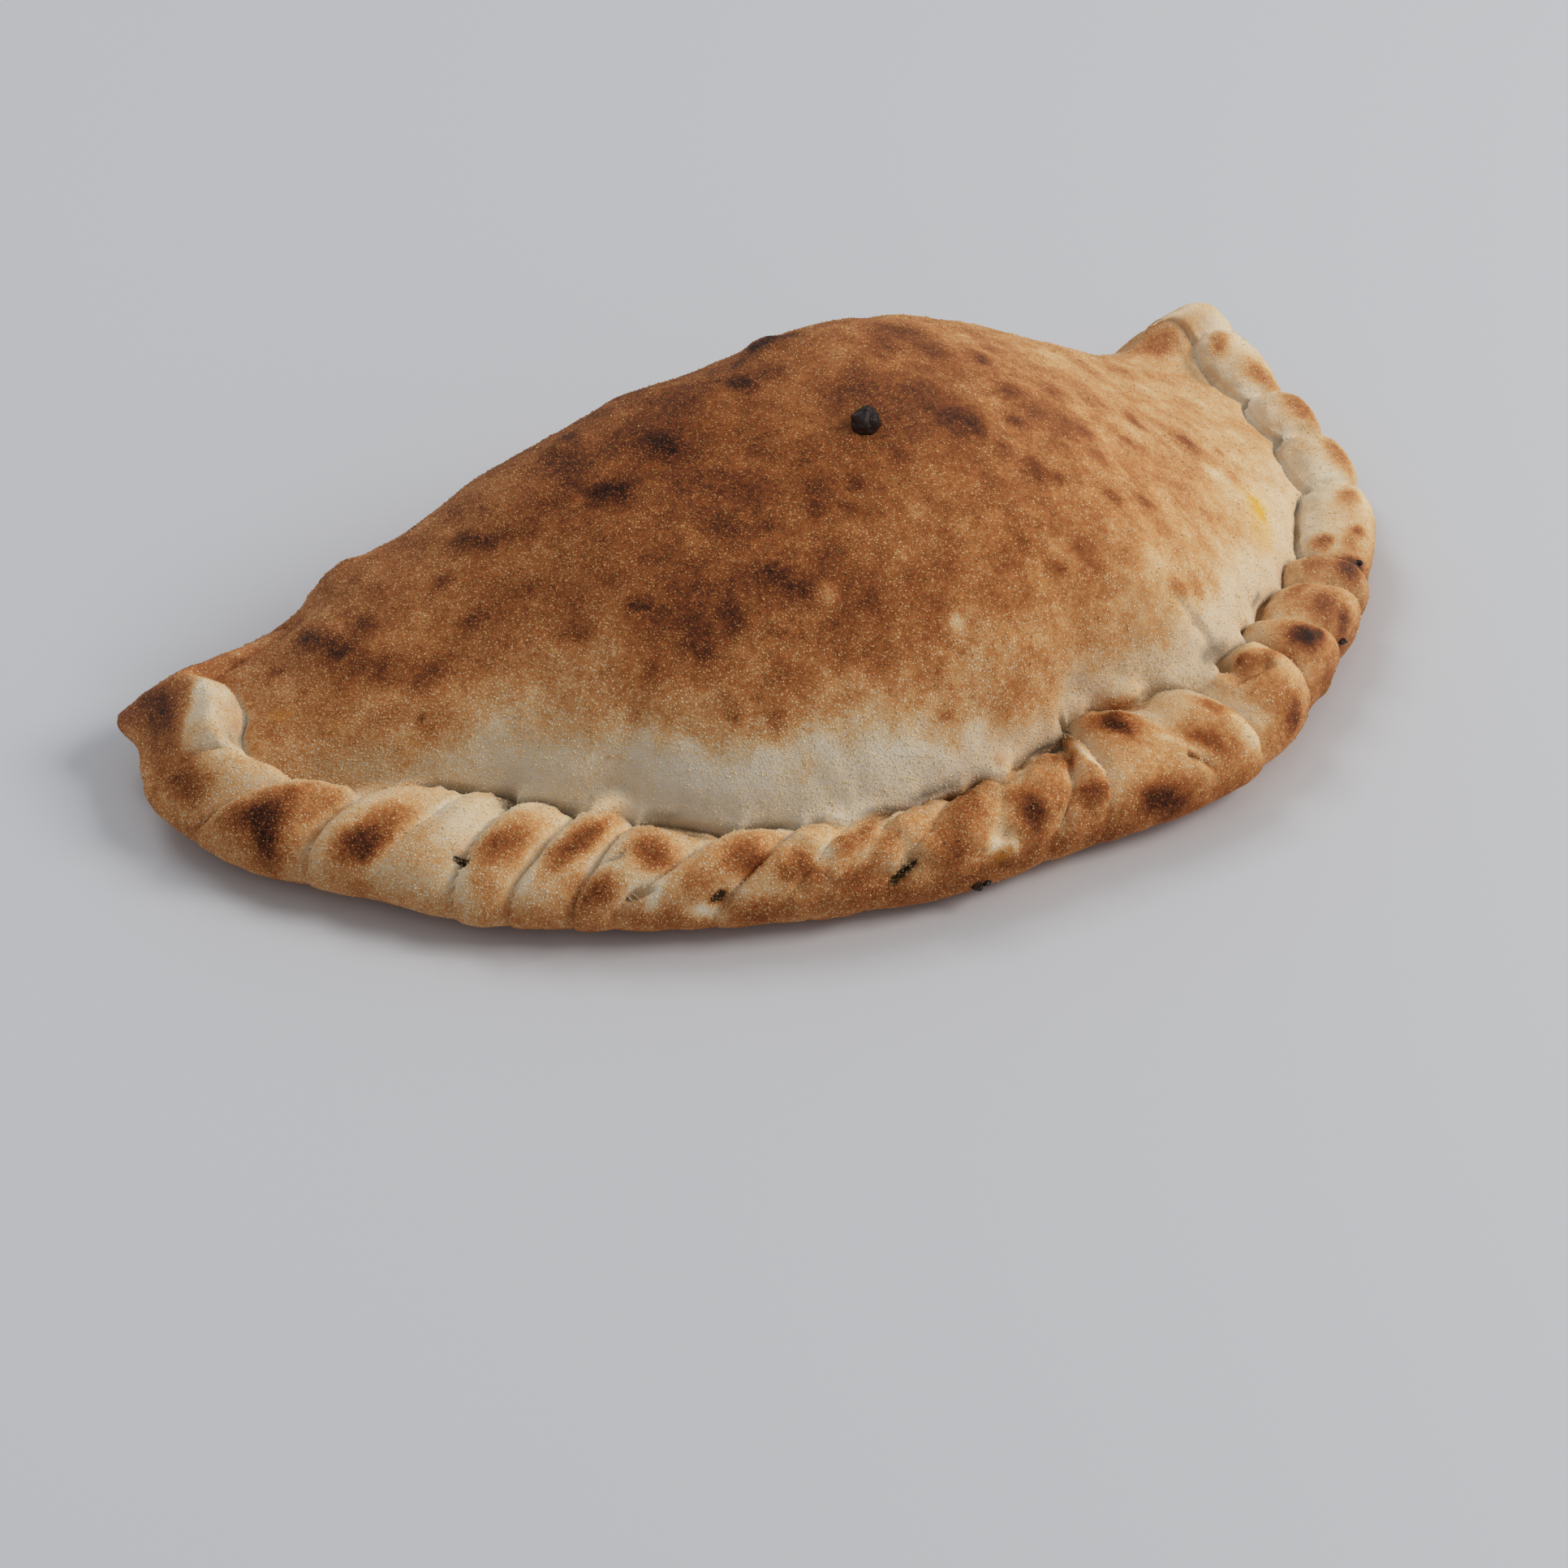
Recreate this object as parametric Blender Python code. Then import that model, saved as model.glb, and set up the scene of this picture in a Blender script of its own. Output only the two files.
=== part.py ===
"""Baked calzone: one folded disc of dough with a crimped front rim, a domed pocket and two tips.

The crust is one closed solid. A UV sphere's vertices are carried onto the crust: each meridian
runs from the middle of the flat base, under the rim, over the crimped rope, down into the crease
and up the pocket to the crown. Sizes are in millimetres until the mesh is written in metres.
+X runs along the fold from the left tip to the right tip, -Y is the crimped front, +Z is up.
Angles are in degrees round the crown, counted from +X towards the fold side (+Y).
"""
import math

import bmesh
import bpy
import numpy as np

NAME = "calzone"
MM = 0.001

# Crown: the point of the dome that every meridian runs to.
CROWN_X = 8.0
CROWN_Y = -38.0

# Plan outline: a disc of dough cut by the fold and by two blunt ends, with rounded corners.
DISC_X = 14.0
DISC_Y = 51.0
DISC_RADIUS = 189.0
FOLD_X = 15.0
FOLD_Y = 9.5
FOLD_RADIUS = 1200.0
LEFT_END_X = -137.0
LEFT_END_SLANT = 49.0
RIGHT_END_X = 153.5
RIGHT_END_SLANT = 1.5
CORNER_POWER = 8.7

# Local swellings of the outline: (angle, half width in degrees, millimetres outwards).
OUTLINE_BULGES = (
    (168, 3.0, 6.5), (172, 4.0, -6.0), (177, 2.5, -0.3), (186, 5.0, 1.2), (206, 5.0, 1.8),
    (235, 14.0, -1.4), (253, 14.0, -0.8), (272, 14.0, -2.7), (293, 16.0, 3.0), (317, 12.0, -3.0),
    (335, 12.0, -4.6), (355, 12.0, -2.0), (5, 5.0, -1.5), (16, 5.0, 3.2),
)

# Sizes that change round the edge, each as (angle, value) keys that are blended smoothly.
ROPE_WIDTH = (
    (166, 20), (172, 22), (180, 20), (186, 23), (192, 29), (198, 31), (206, 30), (213, 26),
    (220, 22), (230, 19), (245, 18), (262, 20), (275, 22), (283, 30), (293, 29), (300, 26),
    (308, 22), (330, 20), (350, 18),
    (2, 16), (14, 20), (24, 20),
)
ROPE_TOP = (
    (90, 30), (158, 19), (164, 19), (168, 21), (172, 23.5), (178, 22.5), (184, 19), (215, 18.5),
    (250, 18.5), (290, 19), (305, 20), (330, 19), (350, 18), (0, 19), (8, 23), (14, 28), (18.5, 20),
    (24, 18), (30, 19),
)
ROPE_LEAN = ((160, 0), (168, 3), (173, 5), (178, 4.5), (183, 1.5), (188, 0))
WIDEST_HEIGHT = (
    (60, 19), (120, 18), (145, 15), (158, 8), (169, 12), (177, 10), (186, 8), (300, 8), (330, 8.5),
    (345, 10), (0, 12), (10, 15), (15, 16), (21, 9), (28, 8.5), (40, 13),
)
RIM_LIFT = (
    (90, 0), (150, 0), (158, 1), (169, 6), (178, 3), (186, 0.4), (270, 0.4), (320, 0.6),
    (335, 1.5), (350, 4), (5, 7), (14, 9), (22, 2), (40, 0),
)
BASE_INSET = ((90, 9), (180, 9), (270, 8), (330, 10), (350, 20), (14, 38), (35, 18), (60, 9))
SECTION_POWER = (
    (90, 1.0), (160, 1.1), (170, 1.5), (178, 1.4), (186, 0.9), (300, 0.85), (0, 0.9), (60, 1.0),
)
CREASE_TURN = (
    (160, 90), (166, 215), (172, 240), (185, 250), (330, 248), (0, 250), (8, 245), (15, 200),
    (22, 90),
)
WALL_POWER = ((90, 14), (165, 14), (200, 11), (300, 11), (340, 14))

# The dome's ridge, as (x, value) keys: its height, how far it lies in from the fold, and the
# height of the fold's outermost edge.
RIDGE_HEIGHT = (
    (-150, 12), (-128, 20), (-93, 34), (-59, 50), (-27, 57.5), (15, 63.5), (42, 61), (60, 53),
    (80, 41), (95, 32), (110, 24), (125, 19), (150, 14),
)
RIDGE_INSET = ((-150, 20), (-90, 26), (0, 36), (60, 34), (110, 26), (150, 20))
FOLD_HEIGHT = ((-150, 6), (-110, 9), (-70, 16), (0, 18), (50, 18), (90, 13), (118, 8), (150, 8))
SHOULDER_DROP = 0.55
SHOULDER_POWER = 2.2
FRONT_BASE_HEIGHT = 13.0
ROPE_AND_CREASE = 22.0
SMALLEST_HALF_WIDTH = 25.0
FORWARD_LIMIT = 1.2

# Crimps: the grooves between the pinched lobes, from the left tip round the front to the right
# tip. Each is (distance along the rim at the crease, at the outer edge, depth, peak), all in mm
# but the last: how far along the lobe that follows its top lies, from 0 to 1.
GROOVES = (
    (4, -12, 3.6, 0.38), (12, 6, 4.5, 0.38), (25, 32, 5.5, 0.40), (46, 48, 2.8, 0.45),
    (56, 64, 4.0, 0.40), (74, 75, 5.0, 0.40), (90, 88, 5.0, 0.40), (118, 96, 4.0, 0.42),
    (135, 117, 4.5, 0.45), (149, 130, 3.0, 0.50), (163, 136, 3.0, 0.50), (176, 148, 4.0, 0.50),
    (190, 172, 3.6, 0.50), (212, 190, 4.5, 0.50), (217, 203, 4.0, 0.50), (233, 231, 3.2, 0.60),
    (253, 248, 5.5, 0.62), (281, 271, 6.0, 0.62), (288, 292, 5.0, 0.62), (308, 308, 5.0, 0.62),
    (323, 314, 5.0, 0.60), (354, 354, 4.3, 0.52), (378, 375, 5.0, 0.50), (395, 393, 4.4, 0.50),
    (418, 414, 3.2, 0.50), (442, 438, 1.2, 0.50),
)
GROOVE_SHARPNESS = 1.1
NARROWEST_LOBE = 0.5
TIP_FADE = 4.0

# How the rope's section turns: how flat its underside is, over which turns the grooves run, how
# little they press at the outermost edge, and from which crease turn there is a rope to press.
UNDERSIDE_POWER = 0.9
GROOVE_TURNS = 155.0
PRESS_START = 60.0
PRESS_SPREAD = 1.25
PRESS_LAST = 120.0
PRESS_LEAST = 0.18
PRESS_POWER = 1.5
ROPE_FADE_START = 150.0
ROPE_FADE_TURNS = 60.0

# Pinches: where the rope is pressed onto the pocket and the crease closes up.
# (distance along the rim, half width, strength from 0 to 1)
PINCHES = (
    (26, 5, 0.8), (80, 6, 1.0), (144, 10, 0.9), (187, 6, 0.9), (221, 6, 0.5), (237, 7, 0.7),
    (258, 8, 1.0),
)
PINCH_TURN = 45.0
CRIMP_FADE = 0.25

# Swellings of the dome: (x, y, radius, height), bubbles under the crust and dips between them.
SWELLS = (
    (18, -22, 15, 2.2), (-28, -12, 14, 3.6), (-58, -14, 13, 1.0), (-94, -8, 9, 4.0),
    (-40, -60, 22, 1.2), (40, -75, 24, 1.0), (52, -18, 16, -1.5), (96, -50, 22, 1.5),
    (-78, -50, 20, -1.2),
)

# The burnt bubble near the crown.
BLISTER_X = 9.0
BLISTER_Y = -49.0
BLISTER_RADIUS = 3.6
BLISTER_SINK = 0.6
BLISTER_LUMPS = 3.0
BLISTER_UNEVEN = 0.08
BLISTER_SEGMENTS = 12
BLISTER_RINGS = 8

# Mesh rings from the base to the crown, and how the meridian is shared between them.
COLUMNS = 144
BASE_RINGS = 3
ROPE_RINGS = 14
DOME_RINGS = 15
BACK_DENSITY = 0.55
ROPE_START_TURN = 20.0
TURN_OUTERMOST = 90.0
TURN_FULL_CREASE = 250.0
UNDER_SHARE = 0.5
UNDER_HEIGHT = 0.25
DOME_SPREAD = 1.6
FRONT_SPAN = 212.0
RIM_ORIGIN_ANGLE = 180.0
TABLE_START = 166.0
TABLE_STEPS = 3600
MOST_STRETCH = 1.6

DOUGH_COLOUR = (0.42, 0.20, 0.085, 1.0)
DOUGH_ROUGHNESS = 0.85
CHAR_COLOUR = (0.02, 0.009, 0.005, 1.0)
CHAR_ROUGHNESS = 0.6


def smooth_curve(keys, place):
    """Value at each place of (place, value) keys, on a smooth curve that never overshoots them."""
    places, values = np.array(keys, dtype=float).T
    slopes = np.diff(values) / np.diff(places)
    product = slopes[:-1] * slopes[1:]
    total = slopes[:-1] + slopes[1:]
    same_way = product > 0.0
    tangents = np.where(same_way, 2.0 * product / np.where(same_way, total, 1.0), 0.0)
    tangents = np.concatenate([[0.0], tangents, [0.0]])
    place = np.clip(place, places[0], places[-1])
    index = np.clip(np.searchsorted(places, place, side="right") - 1, 0, len(places) - 2)
    span = places[index + 1] - places[index]
    part = (place - places[index]) / span
    rise = part * part * (3.0 - 2.0 * part)
    leave = part * (1.0 - part) ** 2 * span * tangents[index]
    arrive = part * part * (part - 1.0) * span * tangents[index + 1]
    return values[index] * (1.0 - rise) + values[index + 1] * rise + leave + arrive


def blend_keys(keys, angle):
    """Value at each angle of (angle, value) keys, blended smoothly round the full circle."""
    turns = [(place + turn, value) for turn in (-360.0, 0.0, 360.0) for place, value in sorted(keys)]
    return smooth_curve(turns, np.mod(angle, 360.0))


def bump(offset, width):
    """A smooth hump of height 1 and the given half width."""
    return np.exp(-(offset / width) ** 2)


def circle_distance(cosine, sine, centre_x, centre_y, radius):
    """Distance from the crown to a circle round it, along each direction."""
    dx = CROWN_X - centre_x
    dy = CROWN_Y - centre_y
    along = cosine * dx + sine * dy
    return -along + np.sqrt(along ** 2 - (dx * dx + dy * dy - radius ** 2))


def rim_radius(angle):
    """Plan distance from the crown to the outermost edge of the dough."""
    radians = np.radians(angle)
    cosine = np.cos(radians)
    sine = np.sin(radians)
    left = math.radians(LEFT_END_SLANT)
    right = math.radians(RIGHT_END_SLANT)
    nearness = (
        1.0 / circle_distance(cosine, sine, DISC_X, DISC_Y, DISC_RADIUS),
        1.0 / circle_distance(cosine, sine, FOLD_X, FOLD_Y - FOLD_RADIUS, FOLD_RADIUS),
        np.maximum(sine * math.sin(left) - cosine * math.cos(left), 0.0) / (CROWN_X - LEFT_END_X),
        np.maximum(sine * math.sin(right) + cosine * math.cos(right), 0.0) / (RIGHT_END_X - CROWN_X),
    )
    radius = sum(term ** CORNER_POWER for term in nearness) ** (-1.0 / CORNER_POWER)
    for centre, width, outwards in OUTLINE_BULGES:
        offset = np.mod(angle - centre + 180.0, 360.0) - 180.0
        radius = radius + outwards * bump(offset, width)
    return radius


def rim_table():
    """Angles round the edge and the distance walked along it, zero at the left tip's front."""
    angles = np.linspace(TABLE_START, TABLE_START + 360.0, TABLE_STEPS + 1)
    radius = rim_radius(angles)
    radians = np.radians(angles)
    steps = np.hypot(np.diff(radius * np.cos(radians)), np.diff(radius * np.sin(radians)))
    walked = np.concatenate([[0.0], np.cumsum(steps)])
    return angles, walked - np.interp(RIM_ORIGIN_ANGLE, angles, walked)


RIM_ANGLES, RIM_WALKED = rim_table()


def rim_distance(angle):
    """Distance in mm along the edge, from the left tip round the crimped front."""
    return np.interp(np.mod(angle - TABLE_START, 360.0) + TABLE_START, RIM_ANGLES, RIM_WALKED)


def ray_stretch(angle):
    """How much longer a width is along the ray to the crown than square to the edge."""
    slope = (rim_radius(angle + 0.5) - rim_radius(angle - 0.5)) / math.radians(1.0)
    return np.minimum(np.sqrt(1.0 + (slope / rim_radius(angle)) ** 2), MOST_STRETCH)


def crimp_drop(distance, across):
    """How far the rope's surface lies below the lobes' tops, by place along and across the rope."""
    drop = np.zeros(np.broadcast(distance, across).shape)
    for groove, following in zip(GROOVES[:-1], GROOVES[1:]):
        start = groove[1] + (groove[0] - groove[1]) * across
        stop = following[1] + (following[0] - following[1]) * across
        place = (distance - start) / np.maximum(stop - start, NARROWEST_LOBE)
        inside = (place >= 0.0) & (place < 1.0)
        place = np.clip(place, 0.0, 1.0)
        peak = groove[3]
        rise = GROOVE_SHARPNESS * peak
        fall = GROOVE_SHARPNESS * (1.0 - peak)
        pillow = place ** rise * (1.0 - place) ** fall / (peak ** rise * (1.0 - peak) ** fall)
        depth = groove[2] + (following[2] - groove[2]) * place
        drop = np.where(inside, depth * (1.0 - pillow), drop)
    # The first groove runs out into the left tip.
    first = GROOVES[0]
    before = first[1] + (first[0] - first[1]) * across - distance
    return np.where(before > 0.0, first[2] * np.exp(-before / TIP_FADE), drop)


def crease_turn(angle):
    """The turn round the rope's section at which the pocket takes over."""
    distance = rim_distance(angle)
    pinched = np.zeros_like(distance)
    for centre, width, strength in PINCHES:
        pinched = np.maximum(pinched, strength * bump(distance - centre, width))
    return blend_keys(CREASE_TURN, angle) - PINCH_TURN * pinched


def smooth_step(part):
    part = np.clip(part, 0.0, 1.0)
    return part * part * (3.0 - 2.0 * part)


def rope_point(angle, turn, crimped=1.0):
    """Inset from the edge and height on the rope, at a turn from 0 (below) over 90 (outermost)."""
    half_width = blend_keys(ROPE_WIDTH, angle) / (1.0 - math.sin(math.radians(TURN_FULL_CREASE)))
    widest = blend_keys(WIDEST_HEIGHT, angle)
    below = widest - blend_keys(RIM_LIFT, angle)
    above = blend_keys(ROPE_TOP, angle) - widest
    power = blend_keys(SECTION_POWER, angle)
    sine = np.sin(np.radians(turn))
    cosine = np.cos(np.radians(turn))
    lean = blend_keys(ROPE_LEAN, angle) * np.maximum(-cosine, 0.0)
    inset = half_width * (1.0 - np.sign(sine) * np.abs(sine) ** power) + lean
    under = widest - below * np.abs(cosine) ** UNDERSIDE_POWER
    over = widest + above * np.abs(cosine) ** power
    height = np.where(turn <= TURN_OUTERMOST, under, over)
    # The crimps press the surface in along its normal, most on top and least at the outer edge.
    across = np.clip((turn - TURN_OUTERMOST) / GROOVE_TURNS, 0.0, 1.0)
    swing = np.clip((turn - PRESS_START) / PRESS_SPREAD, 0.0, PRESS_LAST)
    reach = PRESS_LEAST + (1.0 - PRESS_LEAST) * np.sin(np.radians(swing)) ** PRESS_POWER
    has_rope = np.clip((crease_turn(angle) - ROPE_FADE_START) / ROPE_FADE_TURNS, 0.0, 1.0)
    press = crimp_drop(rim_distance(angle), across) * reach * has_rope * crimped
    return inset + sine * press, height + cosine * press


def dome_height(x, y):
    """Height of the pocket's top over the plan, before its walls drop to the crease and the fold."""
    fold = FOLD_Y - (x - FOLD_X) ** 2 / (2.0 * FOLD_RADIUS)
    ridge_y = fold - smooth_curve(RIDGE_INSET, x)
    ridge = smooth_curve(RIDGE_HEIGHT, x)
    chord = (DISC_RADIUS - ROPE_AND_CREASE) ** 2 - (x - DISC_X) ** 2
    front = np.minimum(DISC_Y - np.sqrt(np.maximum(chord, 0.0)), ridge_y - SMALLEST_HALF_WIDTH)
    forward = np.clip((ridge_y - y) / (ridge_y - front), 0.0, FORWARD_LIMIT)
    before = ridge - (ridge - FRONT_BASE_HEIGHT) * SHOULDER_DROP * forward ** SHOULDER_POWER
    backward = np.clip((y - ridge_y) / (fold - ridge_y), 0.0, 1.0)
    edge = smooth_curve(FOLD_HEIGHT, x)
    behind = edge + (ridge - edge) * np.sqrt(1.0 - backward ** 2)
    height = np.where(y < ridge_y, before, behind)
    for centre_x, centre_y, radius, rise in SWELLS:
        height = height + rise * bump(np.hypot(x - centre_x, y - centre_y), radius)
    return height


def base_ring(angle, part):
    """The flat base: part 0 is its middle and part 1 the line where the rim leaves the floor."""
    inset, _ = rope_point(angle, ROPE_START_TURN)
    reach = rim_radius(angle) - (blend_keys(BASE_INSET, angle) + inset) * ray_stretch(angle)
    return reach * part, np.zeros_like(angle)


def under_ring(angle):
    """Between the base and the rope's underside."""
    inset, height = rope_point(angle, ROPE_START_TURN)
    half_way = inset + UNDER_SHARE * blend_keys(BASE_INSET, angle)
    return rim_radius(angle) - half_way * ray_stretch(angle), UNDER_HEIGHT * height


def rope_ring(angle, part):
    """The rope: part 0 is its underside and part 1 the crease."""
    turn = ROPE_START_TURN + (crease_turn(angle) - ROPE_START_TURN) * part
    inset, height = rope_point(angle, turn)
    return rim_radius(angle) - inset * ray_stretch(angle), height


def dome_ring(angle, part):
    """The pocket: part 0 is the crease and part 1 the crown."""
    crimped_reach, crimped_start = rope_ring(angle, 1.0)
    inset, smooth_start = rope_point(angle, blend_keys(CREASE_TURN, angle), crimped=0.0)
    smooth_reach = rim_radius(angle) - inset * ray_stretch(angle)
    # The crimps shape the foot of the pocket and fade out up its wall.
    settled = smooth_step(part / CRIMP_FADE)
    start = crimped_start + (smooth_start - crimped_start) * settled
    ratio = 1.0 - part ** DOME_SPREAD
    reach = (crimped_reach + (smooth_reach - crimped_reach) * settled) * ratio
    radians = np.radians(angle)
    top = dome_height(CROWN_X + reach * np.cos(radians), CROWN_Y + reach * np.sin(radians))
    risen = np.sqrt(1.0 - ratio ** blend_keys(WALL_POWER, angle))
    return reach, start + (top - start) * risen


def column_angles():
    """Angles of the meridians, closer together along the crimped front than along the fold."""
    front = RIM_ANGLES < TABLE_START + FRONT_SPAN
    density = np.where(front, 1.0, BACK_DENSITY)
    weights = 0.5 * (density[1:] + density[:-1]) * np.diff(RIM_WALKED)
    summed = np.concatenate([[0.0], np.cumsum(weights)])
    return np.interp(np.arange(COLUMNS) / COLUMNS * summed[-1], summed, RIM_ANGLES)


def crust_rings():
    """Every ring of the crust from the base's middle to the crown, as reach and height arrays."""
    angle = column_angles()
    rings = [base_ring(angle, part) for part in np.linspace(0.0, 1.0, BASE_RINGS + 1)]
    rings.append(under_ring(angle))
    rings += [rope_ring(angle, part) for part in np.linspace(0.0, 1.0, ROPE_RINGS)]
    rings += [dome_ring(angle, part) for part in np.linspace(0.0, 1.0, DOME_RINGS + 1)[1:]]
    return angle, rings


def make_material(name, colour, roughness):
    material = bpy.data.materials.new(name)
    material.use_nodes = True
    shader = material.node_tree.nodes["Principled BSDF"]
    shader.inputs["Base Color"].default_value = colour
    shader.inputs["Roughness"].default_value = roughness
    shader.inputs["Metallic"].default_value = 0.0
    return material


def add_object(name, bm, collection, material):
    mesh = bpy.data.meshes.new(name)
    bm.to_mesh(mesh)
    bm.free()
    mesh.materials.append(material)
    mesh.shade_smooth()
    item = bpy.data.objects.new(name, mesh)
    collection.objects.link(item)
    return item


def make_crust(collection, material):
    """The whole crust from a UV sphere, whose rings and meridians become the crust's own."""
    angle, rings = crust_rings()
    radians = np.radians(angle)
    bm = bmesh.new()
    bmesh.ops.create_uvsphere(bm, u_segments=COLUMNS, v_segments=len(rings) - 1, radius=1.0)
    for vertex in bm.verts:
        polar = math.pi - math.acos(max(-1.0, min(1.0, vertex.co.z)))
        ring = round(polar / math.pi * (len(rings) - 1))
        column = round(math.atan2(vertex.co.y, vertex.co.x) / (2.0 * math.pi) * COLUMNS) % COLUMNS
        reach, height = rings[ring]
        x = CROWN_X + reach[column] * math.cos(radians[column])
        y = CROWN_Y + reach[column] * math.sin(radians[column])
        vertex.co = (x * MM, y * MM, max(height[column], 0.0) * MM)
    return add_object(NAME, bm, collection, material)


def add_blister(crust, cutters, material):
    """The burnt bubble: a small lumpy ball that a Boolean union joins to the dome."""
    top = float(dome_height(np.array(BLISTER_X), np.array(BLISTER_Y)))
    bm = bmesh.new()
    bmesh.ops.create_uvsphere(
        bm, u_segments=BLISTER_SEGMENTS, v_segments=BLISTER_RINGS, radius=BLISTER_RADIUS * MM)
    for vertex in bm.verts:
        around = math.atan2(vertex.co.y, vertex.co.x)
        lump = 1.0 + BLISTER_UNEVEN * math.sin(BLISTER_LUMPS * around)
        vertex.co.x *= lump
        vertex.co.y *= lump
    bmesh.ops.translate(
        bm, verts=bm.verts,
        vec=(BLISTER_X * MM, BLISTER_Y * MM, (top - BLISTER_SINK) * MM))
    blister = add_object(NAME + "_blister_guide", bm, cutters, material)
    blister.hide_render = True
    blister.display_type = "WIRE"
    union = crust.modifiers.new("burnt blister", "BOOLEAN")
    union.operation = "UNION"
    union.object = blister
    return blister


def centre_on_base(items):
    """Move the meshes so that the crust's box stands centred on the origin, base at zero."""
    corners = np.array([vertex.co[:] for vertex in items[0].data.vertices])
    centre = 0.5 * (corners.min(axis=0) + corners.max(axis=0))
    for item in items:
        for vertex in item.data.vertices:
            vertex.co.x -= centre[0]
            vertex.co.y -= centre[1]


def main():
    for item in list(bpy.data.objects):
        bpy.data.objects.remove(item, do_unlink=True)
    parts = bpy.data.collections.new(NAME)
    cutters = bpy.data.collections.new(NAME + " guides")
    bpy.context.scene.collection.children.link(parts)
    bpy.context.scene.collection.children.link(cutters)
    dough = make_material("baked_dough", DOUGH_COLOUR, DOUGH_ROUGHNESS)
    char = make_material("charred_dough", CHAR_COLOUR, CHAR_ROUGHNESS)
    crust = make_crust(parts, dough)
    blister = add_blister(crust, cutters, char)
    centre_on_base([crust, blister])


main()
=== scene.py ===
"""The looks of the calzone: browned, charred, semolina-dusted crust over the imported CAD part.

The crust's shape is built by the same rules as the CAD part, on a finer mesh, with the small
forms added: thin lines between the crimps, a ragged lip, dents, slits and blisters. Sizes are in
millimetres until a mesh is written in metres. Angles are in degrees round the crown, counted from
+X (right tip) towards the fold side (+Y).
"""

import math

import bpy
import numpy as np
from mathutils import Matrix, Vector


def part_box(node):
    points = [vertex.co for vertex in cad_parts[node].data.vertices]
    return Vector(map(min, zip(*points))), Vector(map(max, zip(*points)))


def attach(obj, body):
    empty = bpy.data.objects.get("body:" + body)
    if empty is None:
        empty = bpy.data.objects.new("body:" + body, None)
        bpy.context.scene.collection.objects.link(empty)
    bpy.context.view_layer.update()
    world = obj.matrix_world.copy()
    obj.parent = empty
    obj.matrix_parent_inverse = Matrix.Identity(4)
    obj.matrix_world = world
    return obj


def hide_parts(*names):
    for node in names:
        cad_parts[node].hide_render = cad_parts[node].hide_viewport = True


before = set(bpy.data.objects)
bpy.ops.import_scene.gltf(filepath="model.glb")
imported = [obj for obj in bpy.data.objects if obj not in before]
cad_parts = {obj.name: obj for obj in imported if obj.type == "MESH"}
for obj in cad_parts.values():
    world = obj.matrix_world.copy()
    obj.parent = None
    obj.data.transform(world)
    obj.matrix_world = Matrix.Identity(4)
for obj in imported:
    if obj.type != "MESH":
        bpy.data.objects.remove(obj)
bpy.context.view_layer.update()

MM = 0.001
SEED = 41

# ---------------------------------------------------------------- the CAD part's driving sizes
# Values as in part.py, apart from BACK_DENSITY, CRIMP_FADE and eleven crimps that are up to 2 mm
# shallower here. The notch's values are only here, to ease the pocket's wall above the notch.
# DISC_*, CORNER_POWER, the ends and at least four bulges began as rounded results of fits of the
# outline to the photograph, and most crimp positions as fits of straight lines to points picked in
# it. Some of them were then changed.
CROWN_X, CROWN_Y = 8.0, -38.0
DISC_X, DISC_Y, DISC_RADIUS = 14.0, 51.0, 189.0
FOLD_X, FOLD_Y, FOLD_RADIUS = 15.0, 9.5, 1200.0
LEFT_END_X, LEFT_END_SLANT = -137.0, 49.0
RIGHT_END_X, RIGHT_END_SLANT = 153.5, 1.5
CORNER_POWER = 8.7
OUTLINE_BULGES = (
    (168, 3, 6.5), (172, 4, -6), (177, 2.5, -0.3), (186, 5, 1.2), (206, 5, 1.8), (235, 14, -1.4),
    (253, 14, -0.8), (272, 14, -2.7), (293, 16, 3), (317, 12, -3), (335, 12, -4.6), (355, 12, -2),
    (5, 5, -1.5), (16, 5, 3.2),
)
ROPE_WIDTH = (
    (166, 20), (172, 22), (180, 20), (186, 23), (192, 29), (198, 31), (206, 30), (213, 26), (220, 22),
    (230, 19), (245, 18), (262, 20), (275, 22), (283, 30), (293, 29), (300, 26), (308, 22), (330, 20),
    (350, 18), (2, 16), (14, 20), (24, 20),
)
ROPE_TOP = (
    (90, 30), (158, 19), (164, 19), (168, 21), (172, 23.5), (178, 22.5), (184, 19), (215, 18.5),
    (250, 18.5), (290, 19), (305, 20), (330, 19), (350, 18), (0, 19), (8, 23), (14, 28), (18.5, 20),
    (24, 18), (30, 19),
)
ROPE_LEAN = ((160, 0), (168, 3), (173, 5), (178, 4.5), (183, 1.5), (188, 0))
WIDEST_HEIGHT = (
    (60, 19), (120, 18), (145, 15), (158, 8), (169, 12), (177, 10), (186, 8), (300, 8), (330, 8.5),
    (345, 10), (0, 12), (10, 15), (15, 16), (21, 9), (28, 8.5), (40, 13),
)
RIM_LIFT = (
    (90, 0), (150, 0), (158, 1), (169, 6), (178, 3), (186, 0.4), (270, 0.4), (320, 0.6), (335, 1.5),
    (350, 4), (5, 7), (14, 9), (22, 2), (40, 0),
)
BASE_INSET = ((90, 9), (180, 9), (270, 8), (330, 10), (350, 20), (14, 38), (35, 18), (60, 9))
SECTION_POWER = ((90, 1), (160, 1.1), (170, 1.5), (178, 1.4), (186, 0.9), (300, 0.85), (0, 0.9), (60, 1))
CREASE_TURN = (
    (160, 90), (166, 215), (172, 240), (185, 250), (330, 248), (0, 250), (8, 245), (15, 200), (22, 90),
)
WALL_POWER = ((90, 14), (165, 14), (200, 11), (300, 11), (340, 14))
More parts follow.
